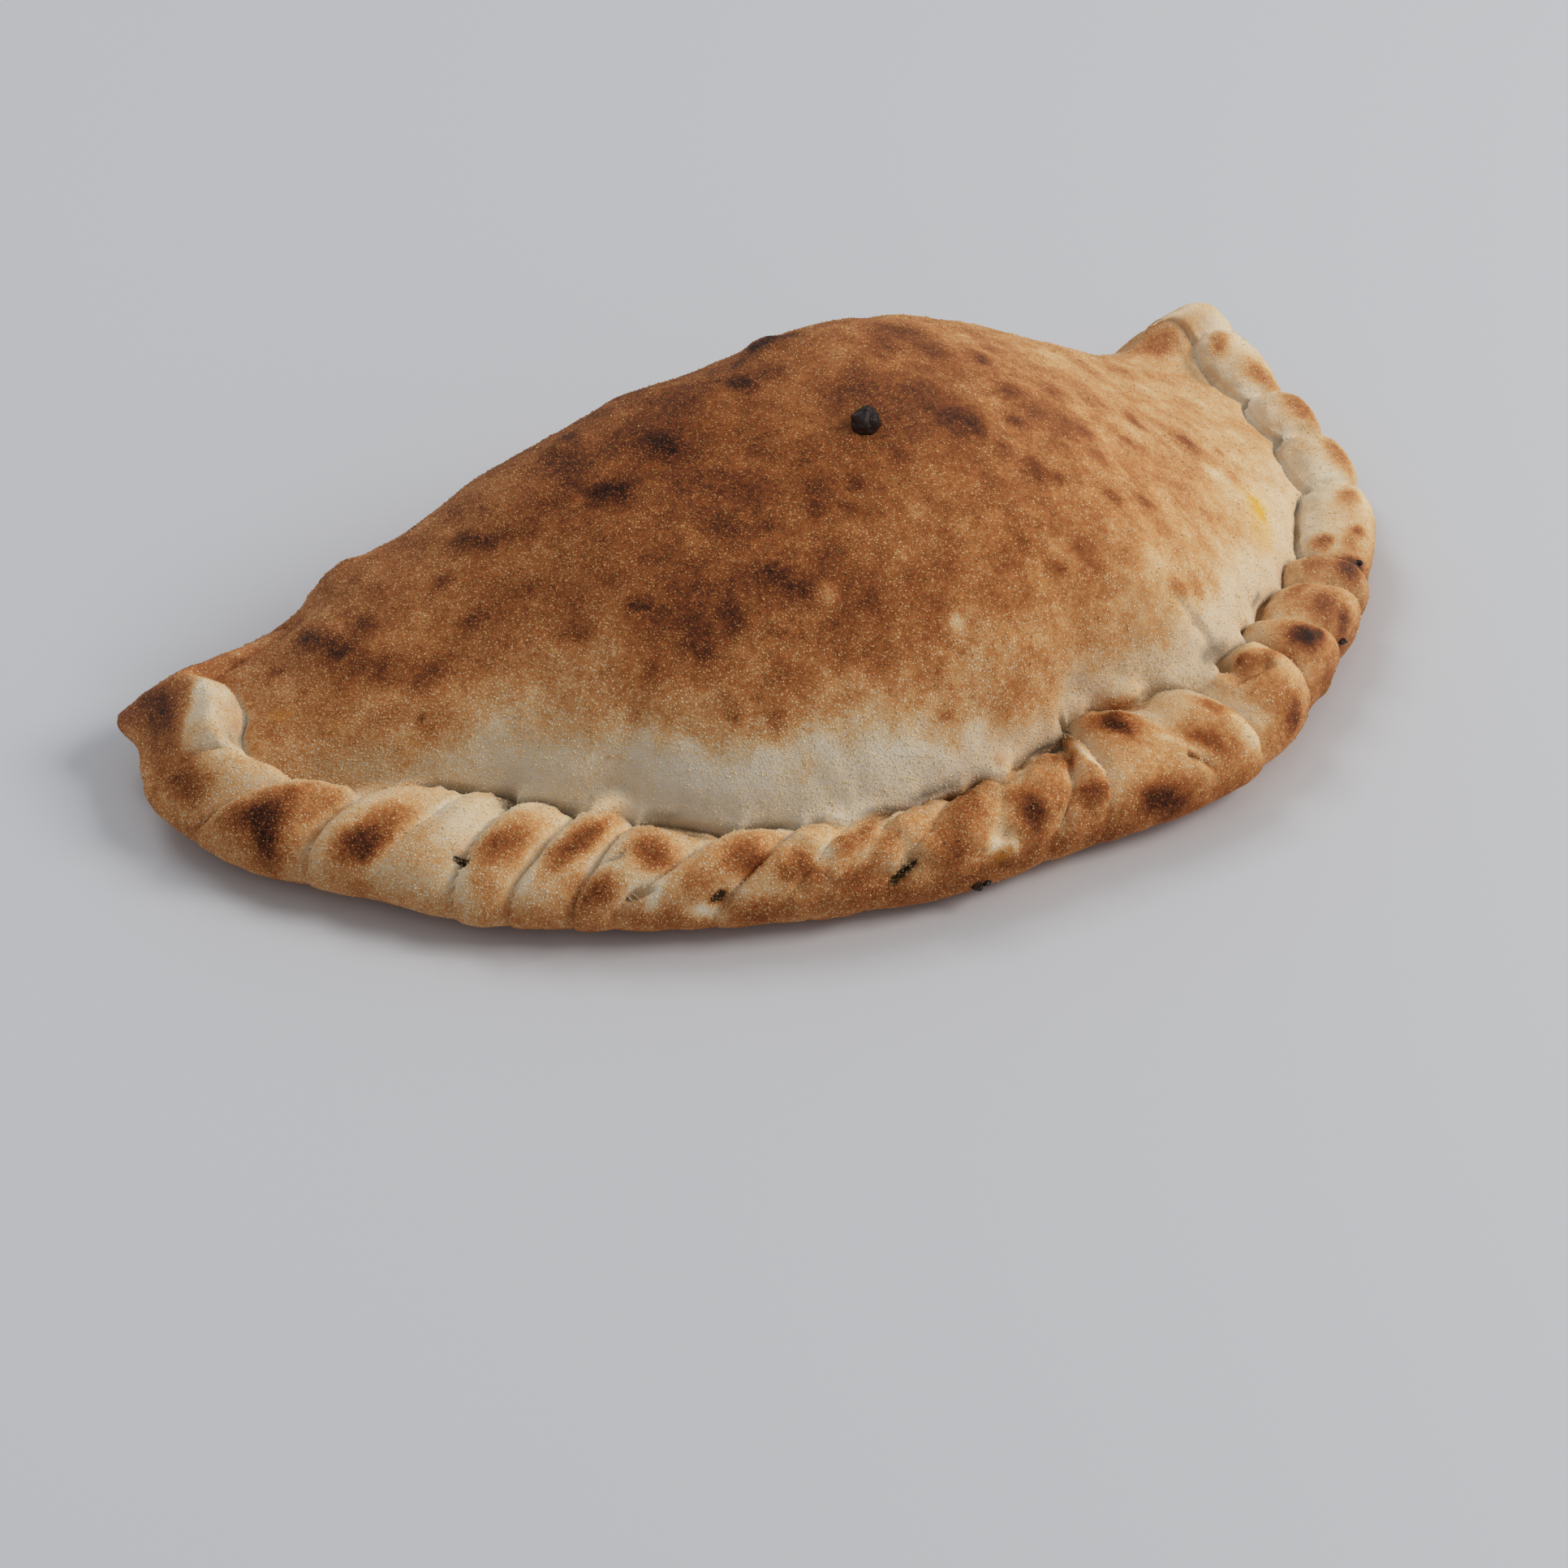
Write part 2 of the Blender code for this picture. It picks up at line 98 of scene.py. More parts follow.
RIDGE_HEIGHT = (
    (-150, 12), (-128, 20), (-93, 34), (-59, 50), (-27, 57.5), (15, 63.5), (42, 61), (60, 53), (80, 41),
    (95, 32), (110, 24), (125, 19), (150, 14),
)
RIDGE_INSET = ((-150, 20), (-90, 26), (0, 36), (60, 34), (110, 26), (150, 20))
FOLD_HEIGHT = ((-150, 6), (-110, 9), (-70, 16), (0, 18), (50, 18), (90, 13), (118, 8), (150, 8))
SHOULDER_DROP, SHOULDER_POWER = 0.55, 2.2
FRONT_BASE_HEIGHT = 13.0
ROPE_AND_CREASE = 22.0
SMALLEST_HALF_WIDTH = 25.0
FORWARD_LIMIT = 1.2
GROOVES = (
    (4, -12, 3.6, 0.38), (12, 6, 4.5, 0.38), (25, 32, 5.5, 0.4), (46, 48, 1.8, 0.45), (56, 64, 4, 0.4),
    (74, 75, 4.6, 0.4), (90, 88, 4.6, 0.4), (118, 96, 4, 0.42), (135, 117, 3.8, 0.45), (149, 130, 1.6, 0.5),
    (163, 136, 1.4, 0.5), (176, 148, 2.4, 0.5), (190, 172, 1.8, 0.5), (212, 190, 3.4, 0.5),
    (217, 203, 3, 0.5), (233, 231, 1.2, 0.6), (253, 248, 5.5, 0.62), (281, 271, 6, 0.62),
    (288, 292, 5, 0.62), (308, 308, 5, 0.62), (323, 314, 5, 0.6), (354, 354, 4.3, 0.52), (378, 375, 5, 0.5),
    (395, 393, 4.4, 0.5), (418, 414, 3.2, 0.5), (442, 438, 1.2, 0.5),
)
GROOVE_SHARPNESS = 1.1
NARROWEST_LOBE = 0.5
TIP_FADE = 4.0
UNDERSIDE_POWER = 0.9
GROOVE_TURNS = 155.0
PRESS_START, PRESS_SPREAD, PRESS_LAST = 60.0, 1.25, 120.0
PRESS_LEAST, PRESS_POWER = 0.18, 1.5
ROPE_FADE_START, ROPE_FADE_TURNS = 150.0, 60.0
PINCHES = (
    (26, 5, 0.8), (80, 6, 1), (144, 10, 0.9), (187, 6, 0.9), (221, 6, 0.5), (237, 7, 0.7), (258, 8, 1),
)
PINCH_TURN = 45.0
CRIMP_FADE = 0.06
NOTCH_ANGLE, NOTCH_SPREAD, NOTCH_RISE = 278.0, 13.0, 0.16
NOTCH_OFFSETS = (-9.0, -6.0, -3.0, 0.0, 3.0, 6.0, 9.0)
SWELLS = (
    (18, -22, 15, 2.2), (-28, -12, 14, 3.6), (-58, -14, 13, 1), (-94, -8, 9, 4), (-40, -60, 22, 1.2),
    (40, -75, 24, 1), (52, -18, 16, -1.5), (96, -50, 22, 1.5), (-78, -50, 20, -1.2),
)
BACK_DENSITY = 0.40
ROPE_START_TURN = 20.0
TURN_OUTERMOST = 90.0
TURN_FULL_CREASE = 250.0
UNDER_SHARE, UNDER_HEIGHT = 0.5, 0.25
DOME_SPREAD = 1.6
FRONT_SPAN = 212.0
RIM_ORIGIN_ANGLE = 180.0
TABLE_START, TABLE_STEPS = 166.0, 3600
MOST_STRETCH = 1.6

# ---------------------------------------------------------------- the fine mesh
COLUMNS = 780
BASE_RINGS = 3
ROPE_RINGS = 46
DOME_RINGS = 74
ARC_SAMPLES = 320
# Turns that mark the base and the pocket, and the arc given to the middle of each.
BASE_TURN, DOME_TURN = -1.0, 999.0
FAR_ARC = 200.0

# ---------------------------------------------------------------- small forms of the crust, in mm
# Lumps all over: size and height of the coarse, the middle and the fine ones.
COARSE_LUMPS, MEDIUM_LUMPS, FINE_LUMPS = (11.0, 0.40), (4.6, 0.24), (2.3, 0.13)
LINE_WIDTH, LINE_DEPTH, LINE_SOFTENING = 0.75, 0.42, 0.22
SOFT_LINES = (34.0, 246.0)
CRUMPLED_RIM = (126.0, 212.0)
SLOT_WIDTH, SLOT_DEPTH = 1.1, 1.5
PIT_DEPTH, PIT_REACH = 0.9, 3.0
# Marks deeper than this, in mm, are also painted with shade.
DEEPEST_UNSHADED_MARK = 1.45

# ---------------------------------------------------------------- how the crust is baked
# Places on the rolled rim are given by the distance along the edge and the height above the
# crease, both in mm: the rope itself is below the crease, so its heights are negative.
# Scorched spots of the rim: (along, above, half length, half height, browning).
RIM_SPOTS = (
    (-4, -22, 8, 6, 0.62), (-2, -23, 4.5, 3.2, 0.72), (-6, -31, 8, 4, 0.5), (19, -20, 7.6, 9, 0.66),
    (24, -9, 3, 5, 0.5), (20.5, -23, 5.4, 4.8, 0.95), (40.5, -26, 5.8, 8, 0.62), (41, -29.5, 3.6, 4, 0.9),
    (53, -28, 6, 6, 0.34), (67.5, -21, 5.2, 7.5, 0.58), (67, -22, 3, 3.6, 0.68), (82, -12, 4.2, 7.5, 0.6),
    (83, -12, 2.2, 5.2, 0.75), (92.5, -27, 3.6, 3.2, 0.74), (88, -24, 3, 3, 0.5),
    (100, -16.5, 5.6, 4.3, 0.58), (100.5, -17, 3, 2.4, 0.74), (121, -15, 5.6, 5.5, 0.6),
    (122, -16, 3, 2.6, 0.74), (112.5, -21.5, 4.6, 4.2, 0.5), (126, -29, 4, 3.2, 0.7),
    (107, -32, 4, 2.5, 0.5), (70, -31, 4, 3, 0.45), (116, -33, 6, 2, 0.58), (134.5, -16, 4, 3, 0.7),
    (131, -18.5, 2.5, 2.2, 0.66), (145, -16, 4.2, 3.2, 0.68), (145, -22, 7, 4, 0.6),
    (143.5, -7, 2.2, 3.4, 0.6), (148, -6, 2.5, 3, 0.55), (153, -12, 3, 3, 0.5), (161, -2, 2.2, 2.2, 0.72),
    (167, -17, 6, 6, 0.55), (166.5, -21.5, 3.2, 2.8, 0.74), (173.5, -11, 4, 5, 0.62),
    (176, -3, 2.6, 4.4, 0.66), (160, -30, 8, 3, 0.64), (187, -13, 4.8, 6.4, 0.54),
    (187, -12.5, 2.6, 5, 0.86), (194.5, -15, 4, 5, 0.5), (202.5, -21, 4, 3, 0.78), (204.5, -8, 4, 3.2, 0.6),
    (199, -28, 7, 4, 0.52), (203.5, -34, 4, 2.4, 0.7), (224, -9, 6.2, 5.8, 0.58), (223, -9, 3, 3.8, 0.92),
    (227, -7, 2, 2, 0.84), (218.5, -30.5, 7.4, 5, 0.56), (217, -30.5, 4.4, 3, 0.92), (221, -33, 3, 2, 0.86),
    (236.5, -18.5, 4, 5, 0.54), (236, -19, 2, 2.6, 0.68), (246, -16, 3.2, 3.4, 0.54),
    (233.5, 1, 3, 2.4, 0.52), (238, -23, 3, 3, 0.48), (259, -14, 4.6, 6, 0.48), (261, -8, 3, 3, 0.48),
    (259.7, -20.5, 3.2, 3, 0.78), (253.5, -23, 3, 3, 0.45), (281, -17, 6, 6, 0.52),
    (282, -16.5, 2.2, 2.6, 1), (284.5, -20, 1.6, 1.6, 0.92), (280, -27, 4, 3, 0.55),
    (298, -15, 7, 5.5, 0.46), (297, -17, 3.6, 2.4, 0.7), (301, -9, 4, 2, 0.5), (296, -23, 3, 2.4, 0.78),
    (314, -9, 4.6, 4, 0.5), (313, -17, 3, 3, 0.84), (320, -15, 1.8, 5.5, 0.84), (317, -24, 3, 4, 0.58),
    (326, -6.5, 2.6, 2.2, 0.5), (326, -14, 3, 2.4, 0.44), (330, -16.5, 1.7, 1.7, 0.62),
    (344, -14, 4.4, 2.6, 0.48), (363, -15, 7, 3, 0.46), (384, -13, 5, 3.4, 0.5), (398, -10, 4, 3.4, 0.46),
    (411, -7, 3.6, 2.4, 0.46), (420, -2, 2.6, 3, 0.26), (425, 8, 4, 4, 0.56), (3, 9, 3, 2.5, 0.42),
    (114.7, -28.5, 3.2, 1.8, 0.02), (104, -25, 1.4, 4.5, 0.08), (127, -3.5, 4.5, 1.8, 0.08),
    (158, -4, 3.4, 1.8, 0.08), (209, -13, 1.1, 5, 0.04), (181, -20.5, 1, 2.2, 0.16),
    (229, -19, 1.6, 1.2, 0.14), (55, -18, 3, 8, 0.09), (246, -27, 2.4, 5, 0.12), (250, -8, 3, 7, 0.12),
    (290, -8, 2.2, 8, 0.14), (194, -3, 6, 1.8, 0.14),
)
# How brown the rim is between its spots, and how much browner its lower edge is.
RIM_BASE = (
    (-60, 0.5), (-40, 0.52), (-30, 0.44), (-12, 0.26), (20, 0.18), (60, 0.14), (100, 0.2), (135, 0.26),
    (160, 0.32), (190, 0.33), (225, 0.28), (250, 0.22), (290, 0.25), (318, 0.24), (328, 0.18), (352, 0.13),
    (400, 0.13), (425, 0.13), (440, 0.22), (470, 0.45),
)
EDGE_BROWN = (
    (-40, 0.38), (0, 0.34), (40, 0.28), (90, 0.34), (140, 0.34), (240, 0.28), (320, 0.22), (350, 0.08),
)
# Outline of the ear's scorched outer face: (along, above).
EAR_FACE = (
    (-60, -2), (-45, -3), (-34, -6), (-24, -12), (-18, -16), (-11, -19), (-8, -25), (-4, -32), (4, -42),
)
# Painted shade in the hollows in and beside the crease: (along, above, half length, half height, strength).
PAINTED_SHADE_SPOTS = (
    (-7, -5, 3, 3, 0.35), (41, 1.6, 7, 1.1, 0.5), (54, -3.5, 4, 3.6, 0.7), (67, 1.8, 6.5, 1.1, 0.5),
    (102, -4.5, 8, 3.2, 0.75), (96, 2.4, 5, 1, 0.55), (118, 2.2, 5.5, 0.9, 0.45), (153, 1.6, 6, 0.8, 0.6),
    (168, 4.6, 7, 1, 0.8), (206, 2.8, 8, 1.3, 0.85), (212, -4.5, 1.4, 4, 0.8), (240, 1.2, 4.5, 0.7, 0.5),
    (268, 3.6, 7, 2, 0.6), (265, -1.6, 3.6, 1.8, 0.55), (410, 3.2, 6, 2, 0.4), (297, 4.6, 3, 0.8, 0.5),
    (18, 6, 16, 6, 0.2), (-16, -0.6, 7, 0.7, 0.6), (344, 0.5, 14, 0.8, 0.3), (376, 0.6, 16, 0.8, 0.35),
    (312, 2, 5, 1, 0.35),
)
# Dents of the rim: (along, above, half length, half height, depth in mm).
DENTS = (
    (102, -4.5, 8, 3, 2.6), (54, -3.5, 4.2, 3.4, 1.8), (115, -28, 2.6, 2, 0.6), (-7, -5, 3.5, 3.5, 0.8),
    (265, -2, 4, 2.6, 2.6), (272, -8, 4, 2.4, -1.2), (145, -19, 2.2, 2, -0.5), (139, -12, 2.2, 2.4, 0.6),
    (150, -10, 2, 2.6, 0.7), (134, -21, 2.4, 1.6, 0.6), (162, -12, 2, 2.6, -0.6), (157, -16, 2.6, 1.6, 0.6),
    (170, -26, 2.6, 1.8, -0.5), (180, -18, 1.8, 3.4, 0.7), (128, -12, 2, 2.6, -0.4),
    (192, -24, 3, 2.2, 0.5), (209, -14, 2, 3.4, 0.7), (282, -17, 3.2, 3.6, -0.9), (419, -5, 2.2, 3.6, 1.1),
    (412, -9, 2.6, 3.4, -1), (404, -5, 2.2, 3.2, 0.9),
)
# Scorched spots of the pocket, plan view: (x, y, length in x, length in y, radius, browning), in mm.
DOME_SPOTS = (
    (-111, -18, 4, -9, 2.5, 0.95), (-101, -25, 0, 0, 1.8, 0.9), (-76, -22, 4, -7, 2.2, 0.85),
    (-50, -24, 2, 1, 4, 0.84), (-46, -16, 1, 1, 2, 0.9), (-49, -35, 3, -3, 2.4, 0.97),
    (-32, -29, 1, -4, 3, 0.99), (-31, -32, 0, 0, 6.5, 0.84), (-9, -24, 1, -1, 2.6, 0.93),
    (-23, -22, 2, 0, 5, 0.8), (-38, -26, 2, 0, 4, 0.78), (-5, -17, 2, 0, 3, 0.8), (-2, -26, 0, 0, 3, 0.76),
    (-58, -64, 3, -4, 2.1, 0.88), (-42, -75, -1, -3, 2.1, 0.86), (-50, -73, 0, -6, 3.6, 0.82),
    (-48, -69, 0, 0, 3, 0.8), (-31, -74, 4, -5, 2.4, 0.9), (-25, -62.5, 0, 0, 1.9, 0.88),
    (-34, -60, 0, 4, 2.8, 0.8), (-13, -61, -1, -3, 2, 0.8), (-4, -62, 0, -2, 2, 0.82),
    (-8, -68, 0, 0, 1.5, 0.78), (-24, -54, 1, 0, 4, 0.8), (-27, -48, 0, -2, 2.6, 0.78),
    (-58, -55, 0, 0, 2.5, 0.74), (-50, -56, 0, 0, 2.5, 0.78), (-44, -65, 0, -3, 2, 0.78),
    (-15, -86.5, 0, -1, 1.9, 0.75), (-15, -87, 0, 0, 4, 0.61), (-5, -94, 1, -1, 2.2, 0.64),
    (-43.5, -96, 1, -1, 1.5, 0.64), (-51, -90, 1, -2, 1.5, 0.66), (-28, -93, 0, 0, 2.2, 0.6),
    (-22, -98, 0, 0, 2, 0.58), (-14, -103, 0, 0, 1.2, 0.57), (-9, -103.5, 1, 0, 1.3, 0.57),
    (-11, -109.8, 1, 0, 1.3, 0.54), (-102, -37, 0, -2, 1.9, 0.8), (-97, -45, 4, 0, 2.8, 0.78),
    (-84, -41.5, 1, 0, 2, 0.8), (-82.5, -29, 0, 0, 1.6, 0.8), (-58, -31, 1, 0, 2.4, 0.78),
    (-64, -31, 0, 0, 4, 0.74), (-119, -20, 1, -1, 1.5, 0.74), (-68, -60, 0, 0, 2.2, 0.76),
    (-9, -52, 0, 0, 3, 0.74), (-12, -60, 0, 0, 3, 0.76), (-38, -71, 0, 0, 2, 0.78),
    (-60, -76, 0, 0, 2, 0.78), (-50, -66, -6, -4, 6, 0.7), (24, -54, 2, -3, 5, 0.84),
    (23, -46, 0, 0, 4.6, 0.76), (28, -62, 0, 1, 2, 0.84), (24, -61, 0, -1, 1.5, 0.78),
    (38.5, -62, 0, -1, 2.1, 0.85), (46, -59, 1, 0, 3, 0.76), (53, -62, 2, -2, 3.2, 0.72),
    (49, -66, 0, 0, 3, 0.7), (44, -51, 0, -1, 2.2, 0.82), (46, -39, -1, -2, 2.2, 0.84),
    (34, -37, 1, 3, 3.4, 0.8), (31, -25, 4, -2, 3.2, 0.78), (25, -30, 0, 0, 3, 0.78),
    (52, -34, 3, 2, 2.2, 0.66), (57, -50, 1, 1, 2.6, 0.68), (34, -75, 1, -1, 2.6, 0.79),
    (38, -78, 0, 0, 1.6, 0.74), (34, -93, 1, 0, 2.2, 0.66), (25, -95, 2, -1, 1.6, 0.64),
    (21, -89.5, 0, 0, 1.5, 0.66), (49, -84, 1, -1, 1.7, 0.71), (59, -84.5, 0, 0, 1.9, 0.73),
    (54, -72, 0, -2, 2.2, 0.67), (70.5, -64, 0, 0, 1.5, 0.68), (79, -55, 1, 2, 1.7, 0.76),
    (93, -57, 1, -2, 2.3, 0.76), (94, -58, 0, 0, 4.5, 0.56), (105, -57.5, 0, 0, 1.3, 0.62),
    (71, -91, 1, -1, 2.2, 0.42), (76, -76, 1, -1, 2.4, 0.5), (79, -82, 0, 0, 1.3, 0.55),
    (55, -102.5, 2, 0, 1.5, 0.59), (61, -101, 1, 0, 1.5, 0.51), (35, -101, 1, 0, 1.8, 0.5),
    (20, -80, 0, 0, 2.4, 0.56), (1, -87, 0, 0, 2.2, 0.63), (8, -62, 0, 0, 2.2, 0.76),
    (9, -52, 0, 0, 7, 0.7), (-66, -48, 4, -3, 7, 0.66), (14, -37, 0, 0, 3, 0.76), (8, -41, 3, 0, 4, 0.78),
    (12, -51, 4, 0, 6, 0.74), (20, -64, 0, 0, 5, 0.6), (101, -22, 2, 3, 3, 0.52),
    (84, -32, 2, 1, 2.4, 0.52), (70, -44, 2, 1, 3.4, 0.5), (61, -40, 0, 0, 5, 0.52),
    (2, -14, 8, 0, 2.4, 0.97), (-37, -84, 2, -1, 1, 0.75), (121, -6, 3, 4, 3, 0.46),
    (-106, -30, 1, -3, 3, 0.74), (-72, -14, 0, 0, 3, 0.74), (-94, -20, 0, 0, 2.6, 0.72),
    (30, -68, 0, 0, 2.4, 0.68), (44, -72, 0, 0, 3.4, 0.6), (10, -78, 0, 0, 2.6, 0.6),
    (8, -98, 0, 0, 2.6, 0.54), (44, -96, 0, 0, 2.2, 0.5), (64, -74, 0, 0, 2.6, 0.52),
    (-18, -76, 0, 0, 3, 0.74), (-32, -86, 0, 0, 3, 0.63), (101, -67, 0, 0, 2.6, 0.44),
    (86, -68, 0, 0, 3.4, 0.48), (84, -48, 1, 1, 2.4, 0.46), (112, -36, 3, 2, 2.6, 0.42),
)
# Pale places of the pocket: (x, y, radius, browning).
PALE_SPOTS = (
    (-23, -83, 2.2, 0.38), (-1, -98.5, 1.9, 0.14), (2, -98, 3.6, 0.42), (-35, -85, 3, 0.52),
    (-66, -38, 4, 0.54), (32, -53, 5, 0.5), (14, -30, 4.5, 0.52), (-93, -57, 4, 0.4), (56, -92, 4, 0.4),
    (-6, -44, 5, 0.58), (-60, -44, 4, 0.56), (2, -34, 4, 0.58), (64, -58, 4, 0.4), (40, -46, 3, 0.52),
    (26, -105, 4, 0.42),
)
# Blisters of the pocket: (x, y, radius, rise), in mm.
BLISTERS = (
    (-109, -22, 4.2, 1.5), (-101, -25, 2, 0.6), (-47.5, -36.5, 3, 0.9), (-31, -32, 3.4, 0.8),
    (5, -14, 4.5, 1.1), (-98, -6, 5.5, 1.6), (-47, -17, 4, 1.5), (-35.5, -82.5, 2, 0.5),
    (93.5, -57.5, 3, 0.5), (55.5, -102.5, 2.2, 0.5), (-74, -24, 3, 0.6), (-30, -76, 3.6, 0.4),
    (-57, -66, 2.6, 0.4), (-23, -83, 2.2, 0.5), (-51, -93, 2.4, 0.4), (36, -36, 5, 0.5),
    (38.5, -62.5, 2.4, 0.4),
)
# Slits, holes, folds and torn places, as strokes between two points of the surface:
# (start, end, radius, browning, depth in mm). A negative depth stands out.
MARKS = (
    ((115, -97, 14), (115, -99, 14), 1.6, 1, -0.7), ((87, -120, 7), (87, -120, 6), 2.6, 0.74, -0.6),
    ((38, -132, 16), (42, -135, 13), 0.9, 0.66, 2.2), ((-34, -130, 12), (-30, -128, 14), 1.5, 0.4, 2.4),
    ((-88, -100, 14), (-82, -101, 18), 0.8, 0.16, 1.6), ((-85, -106, 11), (-80, -109, 14), 0.9, 0.16, 1.5),
    ((-69, -115, 11), (-67, -115, 12), 1.5, 0.68, 0), ((-12, -132, 13), (-10, -132, 15), 1.7, 0.08, 1),
    ((-12, -134, 11), (-12, -134, 10), 1.2, 0.95, 0.4), ((61, -119, 19), (69, -119, 20), 1.5, 0.6, 3),
    ((63, -115, 20), (72, -117, 19), 1.6, 0.76, -0.9), ((63, -109, 19), (59, -107, 26), 1.2, 0.12, 1.4),
    ((59, -107, 26), (54, -103, 32), 1.5, 0.16, 1.1), ((54, -103, 32), (51, -100, 34), 1.4, 0.3, 0.5),
    ((-101, -52, 24), (-101, -52, 25), 0.9, 0.8, 0.5), ((112, -88, 17), (113, -88, 17), 1.5, 0.6, 0),
)
# Slits and holes of the rim, dented and painted dark inside as shade: (along, above) at both ends and the
# radius, in mm.
PITS = ((154.4, -22, 157.6, -19.8, 2.1), (60.4, -26.8, 62.8, -28.2, 1.2), (116.8, -26, 118, -24.2, 1.15))
# Filling that has leaked or stained through: (start, end, radius, strength).
STAINS = (
    ((102, -74, 23), (100, -79, 22), 2, 0.95), ((102, -74, 23), (95, -86, 22), 4, 0.45),
    ((17, -115, 14), (20, -115, 16), 2, 0.9), ((-12, -134, 11), (-11, -134, 12), 1.6, 0.7),
    ((-2, -118, 21), (1, -118, 21), 1.2, 0.7), ((-123, -30, 19), (-122, -31, 19), 1.8, 0.6),
    ((-115, -41, 21), (-114, -42, 21), 1.8, 0.45), ((1, -116, 19), (0, -116, 19), 1.3, 0.6),
    ((87, -120, 7), (87, -120, 6), 2, 0.45), ((64, -119, 20), (69, -119, 20), 1.4, 0.45),
    ((-105, -53, 22), (-104, -54, 22), 1.3, 0.4),
)
# How far up the pocket, in mm from the crease, the browning reaches half its strength.
PALE_WALL = (
    (150, -15), (164, -14), (168, -4), (172, 5), (178, 8), (182, 12), (191, 15), (197, 16.5), (204, 18.5),
    (223, 17.5), (234, 17), (246, 17.5), (253, 19), (259, 15), (267, 11.5), (280, 12), (292, 14), (301, 16),
    (314, 16), (333, 14), (352, 8), (2, 4), (10, 0), (25, -12), (90, -15),
)
# How brown the wall below that is, by distance along the edge.
WALL_BROWN = (
    (-20, 0.38), (5, 0.38), (28, 0.22), (60, 0.09), (78, 0.13), (95, 0.03), (150, 0.03), (178, 0.05),
    (195, 0.11), (240, 0.16), (256, 0.1), (280, 0.05), (340, 0.08), (380, 0.18), (410, 0.24), (430, 0.38),
)
# How brown the pocket's top is from the left tip to the right tip.
TOP_BROWN = (
    (-150, 0.64), (-110, 0.61), (-90, 0.585), (-60, 0.64), (-35, 0.69), (-10, 0.65), (10, 0.59), (30, 0.55),
    (50, 0.46), (70, 0.38), (90, 0.32), (110, 0.27), (130, 0.3),
)
# How the same browning fades towards the crimped front, over y.
FRONT_FADE = ((-130, 0.8), (-100, 0.92), (-84, 0.95), (-66, 0.98), (-50, 1), (0, 1))

# ---------------------------------------------------------------- camera, light and floor
CAMERA_AIM = (-0.0288, -0.0178, 0.0)
CAMERA_DISTANCE = 0.6262
CAMERA_HEADING = 55.35
CAMERA_PITCH = 40.99
CAMERA_ROLL = 3.27
CAMERA_LENS = 67.18
WORLD_COLOUR, WORLD_STRENGTH = (0.93, 0.96, 1.0, 1.0), 0.335
LIGHT_SIZE = 0.8
FLOOR_COLOUR = (0.72, 0.73, 0.75, 1.0)


def smooth_curve(keys, place):
    """Value at each place of (place, value) keys, on a smooth curve that never overshoots them."""
    places, values = np.array(keys, dtype=float).T
    slopes = np.diff(values) / np.diff(places)
    product = slopes[:-1] * slopes[1:]
    total = slopes[:-1] + slopes[1:]
    same_way = product > 0.0
    tangents = np.where(same_way, 2.0 * product / np.where(same_way, total, 1.0), 0.0)
    tangents = np.concatenate([[0.0], tangents, [0.0]])
    place = np.clip(place, places[0], places[-1])
    index = np.clip(np.searchsorted(places, place, side="right") - 1, 0, len(places) - 2)
    span = places[index + 1] - places[index]
    part = (place - places[index]) / span
    rise = part * part * (3.0 - 2.0 * part)
    leave = part * (1.0 - part) ** 2 * span * tangents[index]
    arrive = part * part * (part - 1.0) * span * tangents[index + 1]
    return values[index] * (1.0 - rise) + values[index + 1] * rise + leave + arrive


def blend_keys(keys, angle):
    turns = [(place + turn, value) for turn in (-360.0, 0.0, 360.0) for place, value in sorted(keys)]
    return smooth_curve(turns, np.mod(angle, 360.0))


def bump(offset, width):
    return np.exp(-(offset / width) ** 2)


def smooth_step(part):
    part = np.clip(part, 0.0, 1.0)
    return part * part * (3.0 - 2.0 * part)


def circle_distance(cosine, sine, centre_x, centre_y, radius):
    dx = CROWN_X - centre_x
    dy = CROWN_Y - centre_y
    along = cosine * dx + sine * dy
    return -along + np.sqrt(along ** 2 - (dx * dx + dy * dy - radius ** 2))


def rim_radius(angle):
    radians = np.radians(angle)
    cosine = np.cos(radians)
    sine = np.sin(radians)
    left = math.radians(LEFT_END_SLANT)
    right = math.radians(RIGHT_END_SLANT)
    nearness = (
        1.0 / circle_distance(cosine, sine, DISC_X, DISC_Y, DISC_RADIUS),
        1.0 / circle_distance(cosine, sine, FOLD_X, FOLD_Y - FOLD_RADIUS, FOLD_RADIUS),
        np.maximum(sine * math.sin(left) - cosine * math.cos(left), 0.0) / (CROWN_X - LEFT_END_X),
        np.maximum(sine * math.sin(right) + cosine * math.cos(right), 0.0) / (RIGHT_END_X - CROWN_X),
    )
    radius = sum(term ** CORNER_POWER for term in nearness) ** (-1.0 / CORNER_POWER)
    for centre, width, outwards in OUTLINE_BULGES:
        offset = np.mod(angle - centre + 180.0, 360.0) - 180.0
        radius = radius + outwards * bump(offset, width)
    return radius


def rim_table():
    angles = np.linspace(TABLE_START, TABLE_START + 360.0, TABLE_STEPS + 1)
    radius = rim_radius(angles)
    radians = np.radians(angles)
    steps = np.hypot(np.diff(radius * np.cos(radians)), np.diff(radius * np.sin(radians)))
    walked = np.concatenate([[0.0], np.cumsum(steps)])
    return angles, walked - np.interp(RIM_ORIGIN_ANGLE, angles, walked)


RIM_ANGLES, RIM_WALKED = rim_table()


def rim_distance(angle):
    return np.interp(np.mod(angle - TABLE_START, 360.0) + TABLE_START, RIM_ANGLES, RIM_WALKED)


def ray_stretch(angle):
    slope = (rim_radius(angle + 0.5) - rim_radius(angle - 0.5)) / math.radians(1.0)
    return np.minimum(np.sqrt(1.0 + (slope / rim_radius(angle)) ** 2), MOST_STRETCH)


